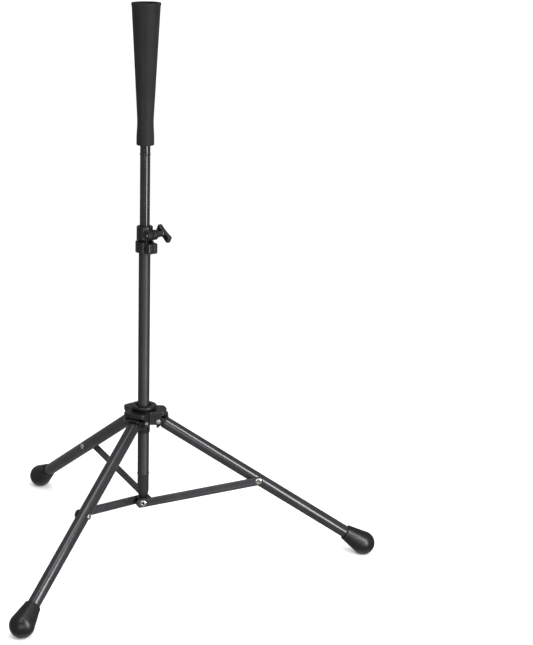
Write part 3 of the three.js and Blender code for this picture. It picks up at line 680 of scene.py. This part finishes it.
cone = turned("rubber_ball_cone", [
    (POLE_RADIUS + CLEARANCE, CONE_LOW, 0.5),
    (CONE_FOOT, CONE_LOW, 1.4),
    (CONE_FOOT, CONE_LOW + 14),
    (CONE_FOOT - 0.35, CONE_LOW + 22),
    (CONE_FOOT - 0.9, CONE_LOW + 32),
    (CONE_WAIST, CONE_LOW + 40),
    (CONE_WAIST + 0.03, CONE_WAIST_HEIGHT),
    (CONE_WAIST + 0.4, CONE_WAIST_HEIGHT + 9),
    (CONE_MOUTH - 0.3, CONE_HIGH - 6.4),
    (CONE_MOUTH + 0.1, CONE_HIGH - 5.6, 0.2),
    (CONE_MOUTH + 0.5, CONE_HIGH - 4.6, 0.4),
    (CONE_MOUTH + 0.5, CONE_HIGH, 1.0),
    (CONE_MOUTH - CONE_WALL, CONE_HIGH, 1.0),
    (WALL_AT_SOCKET, SOCKET_TOP + 6, 3),
    (POLE_RADIUS + CLEARANCE, SOCKET_TOP, 1),
], steps=96)
settle(cone, ON_COLUMN, CONE_RUBBER, "pole", "cone_rubber", "tee_cone")

# %% [markdown]
# ## The pinch collar
# The collar is a nylon moulding in two storeys. The lower storey clamps the column and the upper
# one the pole. A slot parts them at the front, and a split down one side lets them close. The
# body is joined from a few solids, bored and cut, and then softened as moulded plastic is.

# %% Collar body
COLLAR_LOW, COLLAR_HIGH = (corner.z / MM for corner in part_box("height_collar"))
SLOT_HEIGHT = 5
LOWER_TOP = COLLAR_LOW + 20
UPPER_LOW = LOWER_TOP + SLOT_HEIGHT
COLLAR_TURN = -56
EAR = 10.4
BOSS_PROUD = 1.4
BOLT_HOLE = 3.3
SPLIT_HALF = 0.8
BOLT_REACH = 21.5
BOLT_HEIGHT = UPPER_LOW + 10
SCREW_X = 16.7
SCREW_HEIGHT = COLLAR_LOW + 9
ON_COLLAR = ON_COLUMN @ spun(COLLAR_TURN, "Z")


def across_y(radius, low, high, x, z, steps=TURN_STEPS):
    """A round solid along Y through (x, z)."""
    return lay(rod(radius, low, high, steps), shift(x, 0, z) @ TO_PLUS_Y)


def collar_body():
    body = rod(15.3, LOWER_TOP - 1, COLLAR_HIGH)
    body.name = "height_collar_body"
    apply(body, "BEVEL", width=1.2 * MM, segments=3, angle_limit=math.radians(40))
    lower = rod(17.4, COLLAR_LOW, LOWER_TOP)
    ears = block((0, -EAR, COLLAR_LOW), (28.5, EAR, LOWER_TOP), edge=2.4)
    boss = across_y(9.6, -EAR, EAR, BOLT_REACH - 1, BOLT_HEIGHT)
    web = block(
        (0, BOSS_PROUD - EAR, BOLT_HEIGHT - 8), (BOLT_REACH - 1, EAR - BOSS_PROUD, BOLT_HEIGHT + 8),
    )
    join(body, lower, ears, boss, web)
    slot = lay(block((-BEYOND, -BEYOND, LOWER_TOP), (BEYOND, -3, UPPER_LOW)), spun(-COLLAR_TURN, "Z"))
    cut(
        body,
        rod(COLUMN_RADIUS + CLEARANCE, COLLAR_LOW - 5, COLUMN_HIGH + CLEARANCE),
        rod(POLE_RADIUS + CLEARANCE, COLUMN_HIGH - 2, COLLAR_HIGH + 5),
        block((5, -SPLIT_HALF, COLLAR_LOW - 5), (BEYOND, SPLIT_HALF, COLLAR_HIGH + 5)),
        slot,
        across_y(BOLT_HOLE, -BEYOND, BEYOND, BOLT_REACH, BOLT_HEIGHT),
        across_y(5.9, -BEYOND, -EAR + 5, BOLT_REACH, BOLT_HEIGHT, steps=6),
        across_y(2.3, -BEYOND, EAR - 3, SCREW_X, SCREW_HEIGHT),
        across_y(3.7, -BEYOND, -EAR + 2.4, SCREW_X, SCREW_HEIGHT),
    )
    return soften(body, grain=0.45, passes=3)


settle(collar_body(), ON_COLLAR, NYLON, "column", "black_nylon", "height_collar")

# %% [markdown]
# Small hardware holds the collar: a pinch screw across the lower ears, and a nut in a hexagonal
# pocket with a washer on the far side for the knob's bolt.

# %% Collar hardware
PINCH_FACE = -EAR + 0.4
pinch = turned("collar_pinch_screw", [
    (0, PINCH_FACE + 0.5),
    (1.5, PINCH_FACE + 0.5, 0.2),
    (1.9, PINCH_FACE, 0.2),
    (3.4, PINCH_FACE, 0.5),
    (3.4, -EAR + 2.1, 0.1),
    (2, -EAR + 2.1),
    (2, EAR - 3.3, 0.4),
    (0, EAR - 3.3),
])
lay(pinch, shift(SCREW_X, 0, SCREW_HEIGHT) @ TO_PLUS_Y)
settle(pinch, ON_COLLAR, BLACK_OXIDE_AND_HOLE_SHADE, "column", "zinc_hardware", "collar_screw")

NUT_FAR = -EAR + 4.4
nut = rod(5.6, NUT_FAR - 3.7, NUT_FAR, steps=6)
nut.name = "clamp_hexagon_nut"
cut(nut, rod(BOLT_HOLE, -30, 30))
apply(nut, "BEVEL", width=0.35 * MM, segments=2, angle_limit=math.radians(50))
lay(smooth(nut), shift(BOLT_REACH, 0, BOLT_HEIGHT) @ TO_PLUS_Y)
settle(nut, ON_COLLAR, BLACK_OXIDE_AND_HOLE_SHADE, "column", "zinc_hardware", "clamp_nut")

WASHER_LOW = EAR + CLEARANCE
WASHER_THICK = 1.2
WASHER_HIGH = WASHER_LOW + WASHER_THICK
washer = turned("clamp_flat_washer", [
    (BOLT_HOLE, WASHER_LOW, 0.1), (7.5, WASHER_LOW, 0.3),
    (7.5, WASHER_HIGH, 0.3), (BOLT_HOLE, WASHER_HIGH, 0.1),
])
lay(washer, shift(BOLT_REACH, 0, BOLT_HEIGHT) @ TO_PLUS_Y)
settle(washer, ON_COLLAR, BLACK_OXIDE_AND_HOLE_SHADE, "column", "zinc_hardware", "clamp_washer")

# %% [markdown]
# The T knob is a hard polished moulding: a round stem and a bar whose sides draw in a little at
# the middle. It turns with its bolt, so both lie on the bolt's axis, leaning as the bar does.

# %% T knob and bolt
STEM_LOW = WASHER_HIGH + CLEARANCE
STEM_LENGTH = 12
BAR_THICK = 9
BAR_LOW = STEM_LOW + STEM_LENGTH
BAR_HIGH = BAR_LOW + BAR_THICK
KNOB_LEAN = 30
ON_BOLT = ON_COLLAR @ shift(BOLT_REACH, 0, BOLT_HEIGHT) @ spun(KNOB_LEAN, "Y") @ TO_PLUS_Y


def waisted(end, half, waist):
    """The bar's outline: straight ends with rounded corners, and sides drawn in at the middle."""
    top = []
    for step in range(9):
        along = 1 - step / 4
        top.append((along * (end - 2), half - (half - waist) * (1 - along * along)))
    upper = [(end, half, 1.6), *top[1:-1], (-end, half, 1.6)]
    return upper + [(-x, -y, *rest) for x, y, *rest in upper]


knob = plate("t_clamp_knob", waisted(end=20, half=7, waist=5.75), BAR_LOW, BAR_HIGH)
apply(knob, "BEVEL", width=1.6 * MM, segments=4, angle_limit=math.radians(60))
join(knob, turned("knob_stem", [
    (0, STEM_LOW), (6, STEM_LOW, 0.6), (5.2, BAR_LOW - 2), (6, BAR_HIGH - 3), (0, BAR_HIGH - 3),
]))
cut(knob, rod(BOLT_HOLE, STEM_LOW - 5, BAR_LOW + 4))
soften(knob, grain=0.4, passes=4)
settle(knob, ON_BOLT, KNOB_PLASTIC, "knob", "knob_plastic", "clamp_knob")

BOLT_LOW = -EAR + CLEARANCE
bolt = turned("clamp_bolt_rod", [
    (0, BOLT_LOW), (3, BOLT_LOW, 0.6), (3, BAR_LOW + 3, 0.6), (0, BAR_LOW + 3),
])
settle(bolt, ON_BOLT, ZINC, "knob", "zinc_hardware", "clamp_bolt")

# %% [markdown]
# ## The hub
# The hub is a three-armed nylon hood. Each arm covers a leg's hinge, open underneath and at its
# end, so the leg can swing down beside the column. One outline gives the star shape, and the
# pockets, the bore and the pin holes are cut from it.

# %% Hub body
HUB_LOW, HUB_HIGH = (corner.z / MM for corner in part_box("leg_hub"))
ARM = 22
POCKET = 16.5
CHEEK_REACH = 33.5
PIVOT_REACH = 28
PIVOT_HEIGHT = HUB_HIGH - 19
BUSH_RADIUS = 12.5
ARM_ENDS = 45
ROOF = 4
LINTEL = 8.5
PIN_HOLE = 2.8
LEG_ANGLES = [120 * number for number in range(len(LEGS))]


def star():
    """Corners of the hub's outline, with rounded arm ends and small hollows between arms."""
    corners = []
    for arm in LEG_ANGLES:
        for x, y, radius, angle in (
            (ARM / math.sin(math.radians(60)), 0, 3, arm - 60),
            (40, -ARM, 7, arm),
            (ARM_ENDS, 0, 30, arm),
            (40, ARM, 7, arm),
        ):
            turned_by = math.radians(angle)
            corners.append((
                x * math.cos(turned_by) - y * math.sin(turned_by),
                x * math.sin(turned_by) + y * math.cos(turned_by),
                radius,
            ))
    return corners


def hub_body():
    body = plate("leg_hub_hood", star(), HUB_LOW, HUB_HIGH)
    pockets = []
    for arm in LEG_ANGLES:
        around = spun(arm, "Z")
        room = block((0, -POCKET, HUB_LOW - 5), (38, POCKET, HUB_HIGH - ROOF), edge=2)
        mouth = block((30, -POCKET, HUB_LOW - 20), (CHEEK_REACH + 1, POCKET, HUB_HIGH - 8.7))
        past = block(
            (CHEEK_REACH, -ARM - 2, HUB_LOW - 30), (BEYOND, ARM + 2, HUB_HIGH - LINTEL),
        )
        pockets += [lay(tool, around) for tool in (room, mouth, past)]
    cut(body, *pockets)
    join(body, rod(17, HUB_HIGH - 18, HUB_HIGH - 3))
    holes = [rod(BUSH_RADIUS + CLEARANCE, HUB_LOW - 5, HUB_HIGH + 5)]
    for arm in LEG_ANGLES:
        hole = across_y(PIN_HOLE, -BEYOND, BEYOND, PIVOT_REACH, PIVOT_HEIGHT)
        holes.append(lay(hole, spun(arm, "Z")))
    cut(body, *holes)
    return soften(body, grain=0.6, passes=4)


settle(hub_body(), ON_COLUMN, NYLON, "hub", "black_nylon", "leg_hub")

# %% [markdown]
# The bush slides on the column inside the hub. Its top ring is dished round the column, and a
# small boss at the front carries the lock screw.

# %% Hub bush and lock screw
BUSH_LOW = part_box("hub_bush")[0].z / MM
RING_LOW = HUB_HIGH + CLEARANCE + 3
RING_HIGH = RING_LOW + 5
BUSH_BORE = COLUMN_RADIUS + CLEARANCE
BOSS_REACH = 15.2
BOSS_AXIS = shift(0, 0, BUSH_LOW + 10) @ TO_MINUS_Y
ON_BOSS = ON_COLUMN @ BOSS_AXIS

bush = turned("hub_slide_bush", [
    (BUSH_BORE, BUSH_LOW, 0.2),
    (BUSH_RADIUS - 0.5, BUSH_LOW, 0.3),
    (BUSH_RADIUS, BUSH_LOW + 3),
    (BUSH_RADIUS, HUB_HIGH + CLEARANCE),
    (19, HUB_HIGH + CLEARANCE, 0.3),
    (19, RING_LOW, 0.4),
    (25, RING_LOW, 0.8),
    (25, RING_HIGH, 1.4),
    (15, RING_HIGH, 0.7),
    (15, RING_HIGH - 3.4, 0.6),
    (BUSH_BORE, RING_HIGH - 3.4, 0.3),
], steps=72)
join(bush, lay(rod(5.4, BUSH_RADIUS - 0.6, BOSS_REACH), BOSS_AXIS))
cut(
    bush,
    lay(rod(4.2, BOSS_REACH - 2, BEYOND), BOSS_AXIS),
    lay(rod(2.3, 5, BEYOND), BOSS_AXIS),
)
smooth(bush)
settle(bush, ON_COLUMN, NYLON, "hub", "black_nylon", "hub_bush")

HEAD_LOW = BOSS_REACH - 1.7
HEAD_HIGH = BOSS_REACH + 0.2
lock = turned("hub_lock_screw_head", [
    (0, BUSH_BORE), (2, BUSH_BORE, 0.3), (2, HEAD_LOW), (3.9, HEAD_LOW, 0.2),
    (3.9, HEAD_HIGH, 0.5), (0, HEAD_HIGH),
])
cut(lock, lay(block((-0.6, -10, HEAD_HIGH - 0.9), (0.6, 10, HEAD_HIGH + 5)), spun(35, "Z")))
smooth(lock)
settle(lock, ON_BOSS, BLACK_OXIDE_AND_HOLE_SHADE, "lock_screw", "zinc_hardware", "hub_lock_screw")

# %% [markdown]
# ## The legs
# The three legs are the same, so each piece of a leg is modelled once, lying along +X from its
# hinge, and copied to its arm. The slope comes from the hinge and the ball of the foot.

# %% Where each leg lies
BALL_RADIUS = 22.6
BALL_HEIGHT = 21.6
FOOT_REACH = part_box("leg_foot_right")[1].x / MM - COLUMN_X / MM - BALL_RADIUS
DROP = PIVOT_HEIGHT - BALL_HEIGHT
LEG_SLOPE = math.degrees(math.atan2(DROP, FOOT_REACH - PIVOT_REACH))
LEG_LENGTH = math.hypot(DROP, FOOT_REACH - PIVOT_REACH)
ON_ARM = [ON_COLUMN @ spun(angle, "Z") for angle in LEG_ANGLES]
ON_HINGE = [arm @ shift(PIVOT_REACH, 0, PIVOT_HEIGHT) for arm in ON_ARM]
ON_LEG = [hinge @ spun(LEG_SLOPE, "Y") for hinge in ON_HINGE]
print("leg slope:", round(LEG_SLOPE, 2), "degrees, length:", round(LEG_LENGTH, 1), "mm")


def settle_set(model, name, places, material, body, slot, node, hollow=()):
    """Copies one model to the three legs, and hands each copy to its own body."""
    for side, place in zip(LEGS, places):
        piece = copy_of(model, f"{name}_{side}")
        settle(piece, place, material, body.format(side), slot, f"{node}_{side}")
        # The faces inside a rivet's hole take the dark finish as painted shade.
        if hollow:
            piece.data.materials.append(BLACK_OXIDE_AND_HOLE_SHADE)
            for number in hollow:
                piece.data.polygons[number].material_index = 1
    bpy.data.objects.remove(model)


# %% [markdown]
# A leg starts with a moulded fitting: a hinge barrel, a stop plate that meets the hub's hood, two
# gussets, and a spigot inside the tube.

# %% Leg fitting
LEG_RADIUS = 11.7
LEG_BORE = 10.4
PLATE_ALONG = 8.2
PLATE_HALF = 15
GUSSET = ((-1, 4.8), (9.2, 11), (7.2, -10), (-1, -4.8))


def leg_fitting():
    body = across_y(5.2, -16, 16, 0, 0)
    body.name = "leg_fitting_model"
    stop = block((-2, -PLATE_HALF, -14), (2, PLATE_HALF, 17), edge=0.6)
    lay(stop, shift(PLATE_ALONG) @ spun(10, "Y"))
    web = block((0, -12, -4.8), (PLATE_ALONG, 12, 4.8))
    spigot = lay(rod(LEG_BORE - CLEARANCE, PLATE_ALONG, PLATE_ALONG + 36), TO_PLUS_X)
    walls = [
        lay(plate("gusset", GUSSET, low, low + 3), TO_MINUS_Y) for low in (-PLATE_HALF, 12)
    ]
    join(body, stop, web, spigot, *walls)
    cut(body, across_y(PIN_HOLE, -BEYOND, BEYOND, 0, 0))
    return soften(body, grain=0.5, passes=3)


settle_set(
    leg_fitting(), "leg_hinge_fitting", ON_LEG, NYLON,
    "leg_{}", "black_nylon", "leg_fitting",
)

# %% [markdown]
# The tube is steel like the column. It starts just past the stop plate and ends inside the foot.

# %% Leg tube
TUBE_START = PLATE_ALONG + 2 + LEG_RADIUS * math.tan(math.radians(10)) + 3 * CLEARANCE
TUBE_END = LEG_LENGTH - 4
tube = turned("leg_tube_model", [
    (LEG_BORE, TUBE_START, 0.4), (LEG_RADIUS, TUBE_START, 0.5),
    (LEG_RADIUS, TUBE_END, 0.5), (LEG_BORE, TUBE_END, 0.4),
])
lay(tube, TO_PLUS_X)
settle_set(tube, "leg_painted_tube", ON_LEG, TUBE_COAT, "leg_{}", "painted_tube", "leg_tube")

# %% [markdown]
# The foot is a thick rubber boot. It widens straight from its mouth into a ball, and the ball is
# worn flat where it stands. The boot is spun, and the flat is cut by the plane of the floor.

# %% Rubber foot
MOUTH = LEG_LENGTH - 42
SLEEVE = 14.9
TAPER = 41
BALL_STEPS = 22


def rubber_foot():
    slant = math.hypot(TAPER, SLEEVE)
    start = math.atan2(SLEEVE, TAPER) + math.acos(BALL_RADIUS / slant)
    outline = [
        (LEG_RADIUS + CLEARANCE, MOUTH, 0.4), (SLEEVE, MOUTH, 0.9),
        (SLEEVE + 0.9, MOUTH + 5.5), (SLEEVE + 1.8, MOUTH + 10.5),
    ]
    for step in range(BALL_STEPS + 1):
        angle = start + (math.pi - start) * step / BALL_STEPS
        outline.append((
            BALL_RADIUS * math.sin(angle) if step < BALL_STEPS else 0,
            LEG_LENGTH - BALL_RADIUS * math.cos(angle),
        ))
    outline += [(0, TUBE_END + CLEARANCE), (LEG_RADIUS + CLEARANCE, TUBE_END + CLEARANCE)]
    return lay(turned("foot_model", outline, steps=72), TO_PLUS_X)


def cut_at_floor(piece):
    pick(piece)
    bpy.ops.object.mode_set(mode="EDIT")
    bpy.ops.mesh.select_all(action="SELECT")
    bpy.ops.mesh.bisect(plane_co=(0, 0, 0), plane_no=(0, 0, -1), use_fill=True, clear_outer=True)
    bpy.ops.object.mode_set(mode="OBJECT")
    return smooth(piece, math.radians(30))


foot = lay(rubber_foot(), ON_LEG[0])
cut_at_floor(foot)
ROUND_COLUMN = [arm @ ON_ARM[0].inverted() for arm in ON_ARM]
settle_set(
    foot, "rubber_foot", ROUND_COLUMN, FOOT_RUBBER, "leg_{}", "foot_rubber", "leg_foot",
)

# %% [markdown]
# ## The braces
# Each brace is a flat painted strip riveted beside its leg. Its leg end is round, and its column
# end is cut with two small chamfers. The strip is drawn as an outline and raised to a thickness.

# %% Brace
BRACE_HALF = 8.2
BRACE_CHAMFER = 3.5
ROUND_END_STEPS = 16
BRACE_THICK = 2.5
BRACE_AT = 12.0
BRACE_HEIGHT = 108
BRACE_ON_LEG = 229
hinge_to_rivet = Vector((
    PIVOT_REACH + BRACE_ON_LEG * math.cos(math.radians(LEG_SLOPE)),
    PIVOT_HEIGHT - BRACE_ON_LEG * math.sin(math.radians(LEG_SLOPE)) - BRACE_HEIGHT,
))
BRACE_LENGTH = hinge_to_rivet.length
BRACE_SLOPE = math.degrees(math.atan2(hinge_to_rivet.y, hinge_to_rivet.x))
ON_BRACE = [arm @ shift(0, -BRACE_AT, BRACE_HEIGHT) @ spun(-BRACE_SLOPE, "Y") for arm in ON_ARM]


def brace_strip():
    tail = -BRACE_HALF - BRACE_CHAMFER
    outline = [
        (tail, BRACE_HALF - BRACE_CHAMFER, 0.5), (tail, BRACE_CHAMFER - BRACE_HALF, 0.5),
        (tail + BRACE_CHAMFER, -BRACE_HALF, 0.5),
    ]
    for step in range(ROUND_END_STEPS + 1):
        angle = math.radians(-90 + 180 * step / ROUND_END_STEPS)
        outline.append((
            BRACE_LENGTH + BRACE_HALF * math.cos(angle), BRACE_HALF * math.sin(angle),
        ))
    outline.append((tail + BRACE_CHAMFER, BRACE_HALF, 0.5))
    strip = plate("brace_model", outline, 0, BRACE_THICK)
    cut(strip, rod(3.3, -5, 5), lay(rod(3.3, -5, 5), shift(BRACE_LENGTH)))
    apply(strip, "BEVEL", width=0.45 * MM, segments=3, angle_limit=math.radians(50))
    return lay(smooth(strip), TO_MINUS_Y)


settle_set(
    brace_strip(), "brace_painted_strip", ON_BRACE, STRIP_COAT, "brace_{}", "painted_strip",
    "brace",
)

# %% [markdown]
# Hollow rivets hold the braces. A rolling tool turns their rim outward, which leaves a bright
# domed ring round the hole; the hole's shade is painted dark on its inner faces. The column rivets
# and the leg rivets share one outline.

# %% Rivets
EYE_SEAT = BRACE_AT + BRACE_THICK + CLEARANCE


def eyelet(name, start):
    return turned(name, [
        (0, start), (3, start, 0.3), (3, EYE_SEAT), (6.2, EYE_SEAT, 0.3),
        (6.2, EYE_SEAT + 0.9, 0.5), (4.3, EYE_SEAT + 1.6, 0.8), (2.4, EYE_SEAT + 1.5, 0.5),
        (1.9, EYE_SEAT + 0.6, 0.2), (1.9, EYE_SEAT - 1.5), (0, EYE_SEAT - 1.5),
    ], steps=48)


def shaded_hole_faces(piece):
    """The faces inside a rivet's hole, which get a dark finish as painted shade."""
    return [
        face.index for face in piece.data.polygons
        if math.hypot(face.center.x, face.center.y) < 2.3 * MM and face.center.z > 5 * MM
    ]


on_leg_end = eyelet("leg_eyelet_model", BRACE_AT)
leg_hole_shade = shaded_hole_faces(on_leg_end)
lay(on_leg_end, shift(BRACE_LENGTH, BRACE_AT, 0) @ TO_MINUS_Y)
settle_set(
    on_leg_end, "brace_leg_eyelet", ON_BRACE, NICKEL, "brace_{}", "rivet_nickel",
    "brace_leg_rivet", leg_hole_shade,
)
at_column = eyelet("column_eyelet_model", COLUMN_RADIUS - 3)
column_hole_shade = shaded_hole_faces(at_column)
lay(at_column, shift(0, 0, BRACE_HEIGHT) @ TO_MINUS_Y)
settle_set(
    at_column, "brace_column_eyelet", ON_ARM, NICKEL, "column", "rivet_nickel",
    "brace_column_rivet", column_hole_shade,
)

shank = turned("leg_rivet_model", [
    (0, CLEARANCE - BRACE_AT), (3, CLEARANCE - BRACE_AT, 0.3), (3, LEG_RADIUS + CLEARANCE),
    (6.2, LEG_RADIUS + CLEARANCE, 0.3), (5.6, LEG_RADIUS + 1.4, 0.8),
    (3, LEG_RADIUS + 1.9, 2), (0, LEG_RADIUS + 1.9),
], steps=48)
lay(shank, shift(BRACE_ON_LEG) @ TO_PLUS_Y)
settle_set(
    shank, "leg_rivet_head", ON_LEG, NICKEL, "leg_{}", "rivet_nickel", "leg_rivet",
)

# %% [markdown]
# A headed pin runs through each arm of the hub as the leg's hinge, kept by a spring clip.

# %% Hinge pins and clips
PIN_FACE = ARM + CLEARANCE
pin = turned("hinge_pin_model", [
    (0, -PIN_FACE - 2), (4.4, -PIN_FACE - 2, 0.9), (4.4, -PIN_FACE, 0.2), (2.5, -PIN_FACE),
    (2.5, PIN_FACE + 3.4, 0.7), (0, PIN_FACE + 3.4),
], steps=40)
lay(pin, TO_PLUS_Y)
settle_set(pin, "leg_hinge_pin", ON_HINGE, ZINC, "hub", "zinc_hardware", "hinge_pin")

clip = turned("pin_clip_model", [
    (2.8, PIN_FACE, 0.2), (5, PIN_FACE, 0.4), (5, PIN_FACE + 1.2, 0.4), (2.8, PIN_FACE + 1.2, 0.2),
], steps=40)
lay(clip, TO_PLUS_Y)
settle_set(clip, "pin_spring_clip", ON_HINGE, ZINC, "hub", "zinc_hardware", "pin_clip")

# %% [markdown]
# The guide inside the column is never seen, so the CAD's own solid stays there, with the same
# nylon finish as the other mouldings.

# %% Carried-over solids
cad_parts["pole_guide"].data.materials.clear()
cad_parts["pole_guide"].data.materials.append(NYLON)

# %% [markdown]
# ## The studio
# A plain pale floor and soft light. The sky is even, so shadows are faint. It is dimmer for
# reflected rays than for the rest, and the floor doesn't show in reflections, which does the
# work of the dark cards a studio puts round black paint. Soft boxes draw the long highlights on
# the tubes.

# %% Floor
def floor_paper():
    material, tree, place = blank("matt_white_floor_paper")
    tone = blend_colours(tree, spread(tree, noise(tree, place, 30), 0, 1), "#f4f4f3", "#f7f7f6")
    fibre = bumped(tree, noise(tree, place, 3), 0.02)
    rough = spread(tree, noise(tree, place, 20), 0.85, 0.95)
    surface(tree, tone, rough, fibre, Specular_IOR_Level=0.1)
    return material


nothing_selected()
bpy.ops.mesh.primitive_plane_add(size=14, location=(0, 0, 0))
floor = bpy.context.object
floor.name = "studio_floor"
floor.visible_glossy = False
floor.data.materials.append(floor_paper())


# %% Sky and soft boxes
SKY = 1.12
SKY_IN_GLOSS = 0.26     # strength for reflected rays


def sky():
    world = bpy.data.worlds.new("studio_sky")
    world.use_nodes = True
    tree = world.node_tree
    tree.nodes.clear()
    glossy = add(tree, "ShaderNodeLightPath").outputs["Is Glossy Ray"]
    strength = add(tree, "ShaderNodeMapRange", {
        "Value": glossy, "To Min": SKY, "To Max": SKY_IN_GLOSS,
    }).outputs["Result"]
    shade = add(tree, "ShaderNodeBackground", {"Color": (1, 1, 1, 1), "Strength": strength})
    add(tree, "ShaderNodeOutputWorld", {"Surface": shade.outputs[0]})
    bpy.context.scene.world = world


def soft_box(name, azimuth, distance, height, wide, tall, watts, aim_height):
    """A rectangular light. Azimuth 0 is in front of the tee and 90 on its right."""
    lamp = bpy.data.lights.new(name, "AREA")
    lamp.shape = "RECTANGLE"
    lamp.size, lamp.size_y, lamp.energy = wide, tall, watts
    box = bpy.data.objects.new(name, lamp)
    bpy.context.collection.objects.link(box)
    angle = math.radians(azimuth)
    box.location = (
        COLUMN_X + distance * math.sin(angle), -distance * math.cos(angle), height,
    )
    aim = Vector((COLUMN_X, 0, aim_height)) - box.location
    box.rotation_euler = aim.to_track_quat("-Z", "Y").to_euler()
    box.visible_camera = False
    return box


sky()
for name, azimuth, distance, height, wide, tall, watts, aim in (
    ("strip_right", 42, 1.4, 0.95, 0.3, 1.9, 34, 0.95),
    ("overhead", 10, 0.5, 2.3, 1.2, 0.8, 12, 0.3),
    ("small_left", -20, 1.6, 2.0, 0.2, 0.2, 6, 0.1),
    ("front_card", -4, 1.6, 0.27, 1.2, 0.5, 6, 0.27),
):
    lamp = soft_box(name, azimuth, distance, height, wide, tall, watts, aim)
    print("light:", lamp.name, watts, "W")
bpy.context.scene.view_settings.view_transform = "Standard"
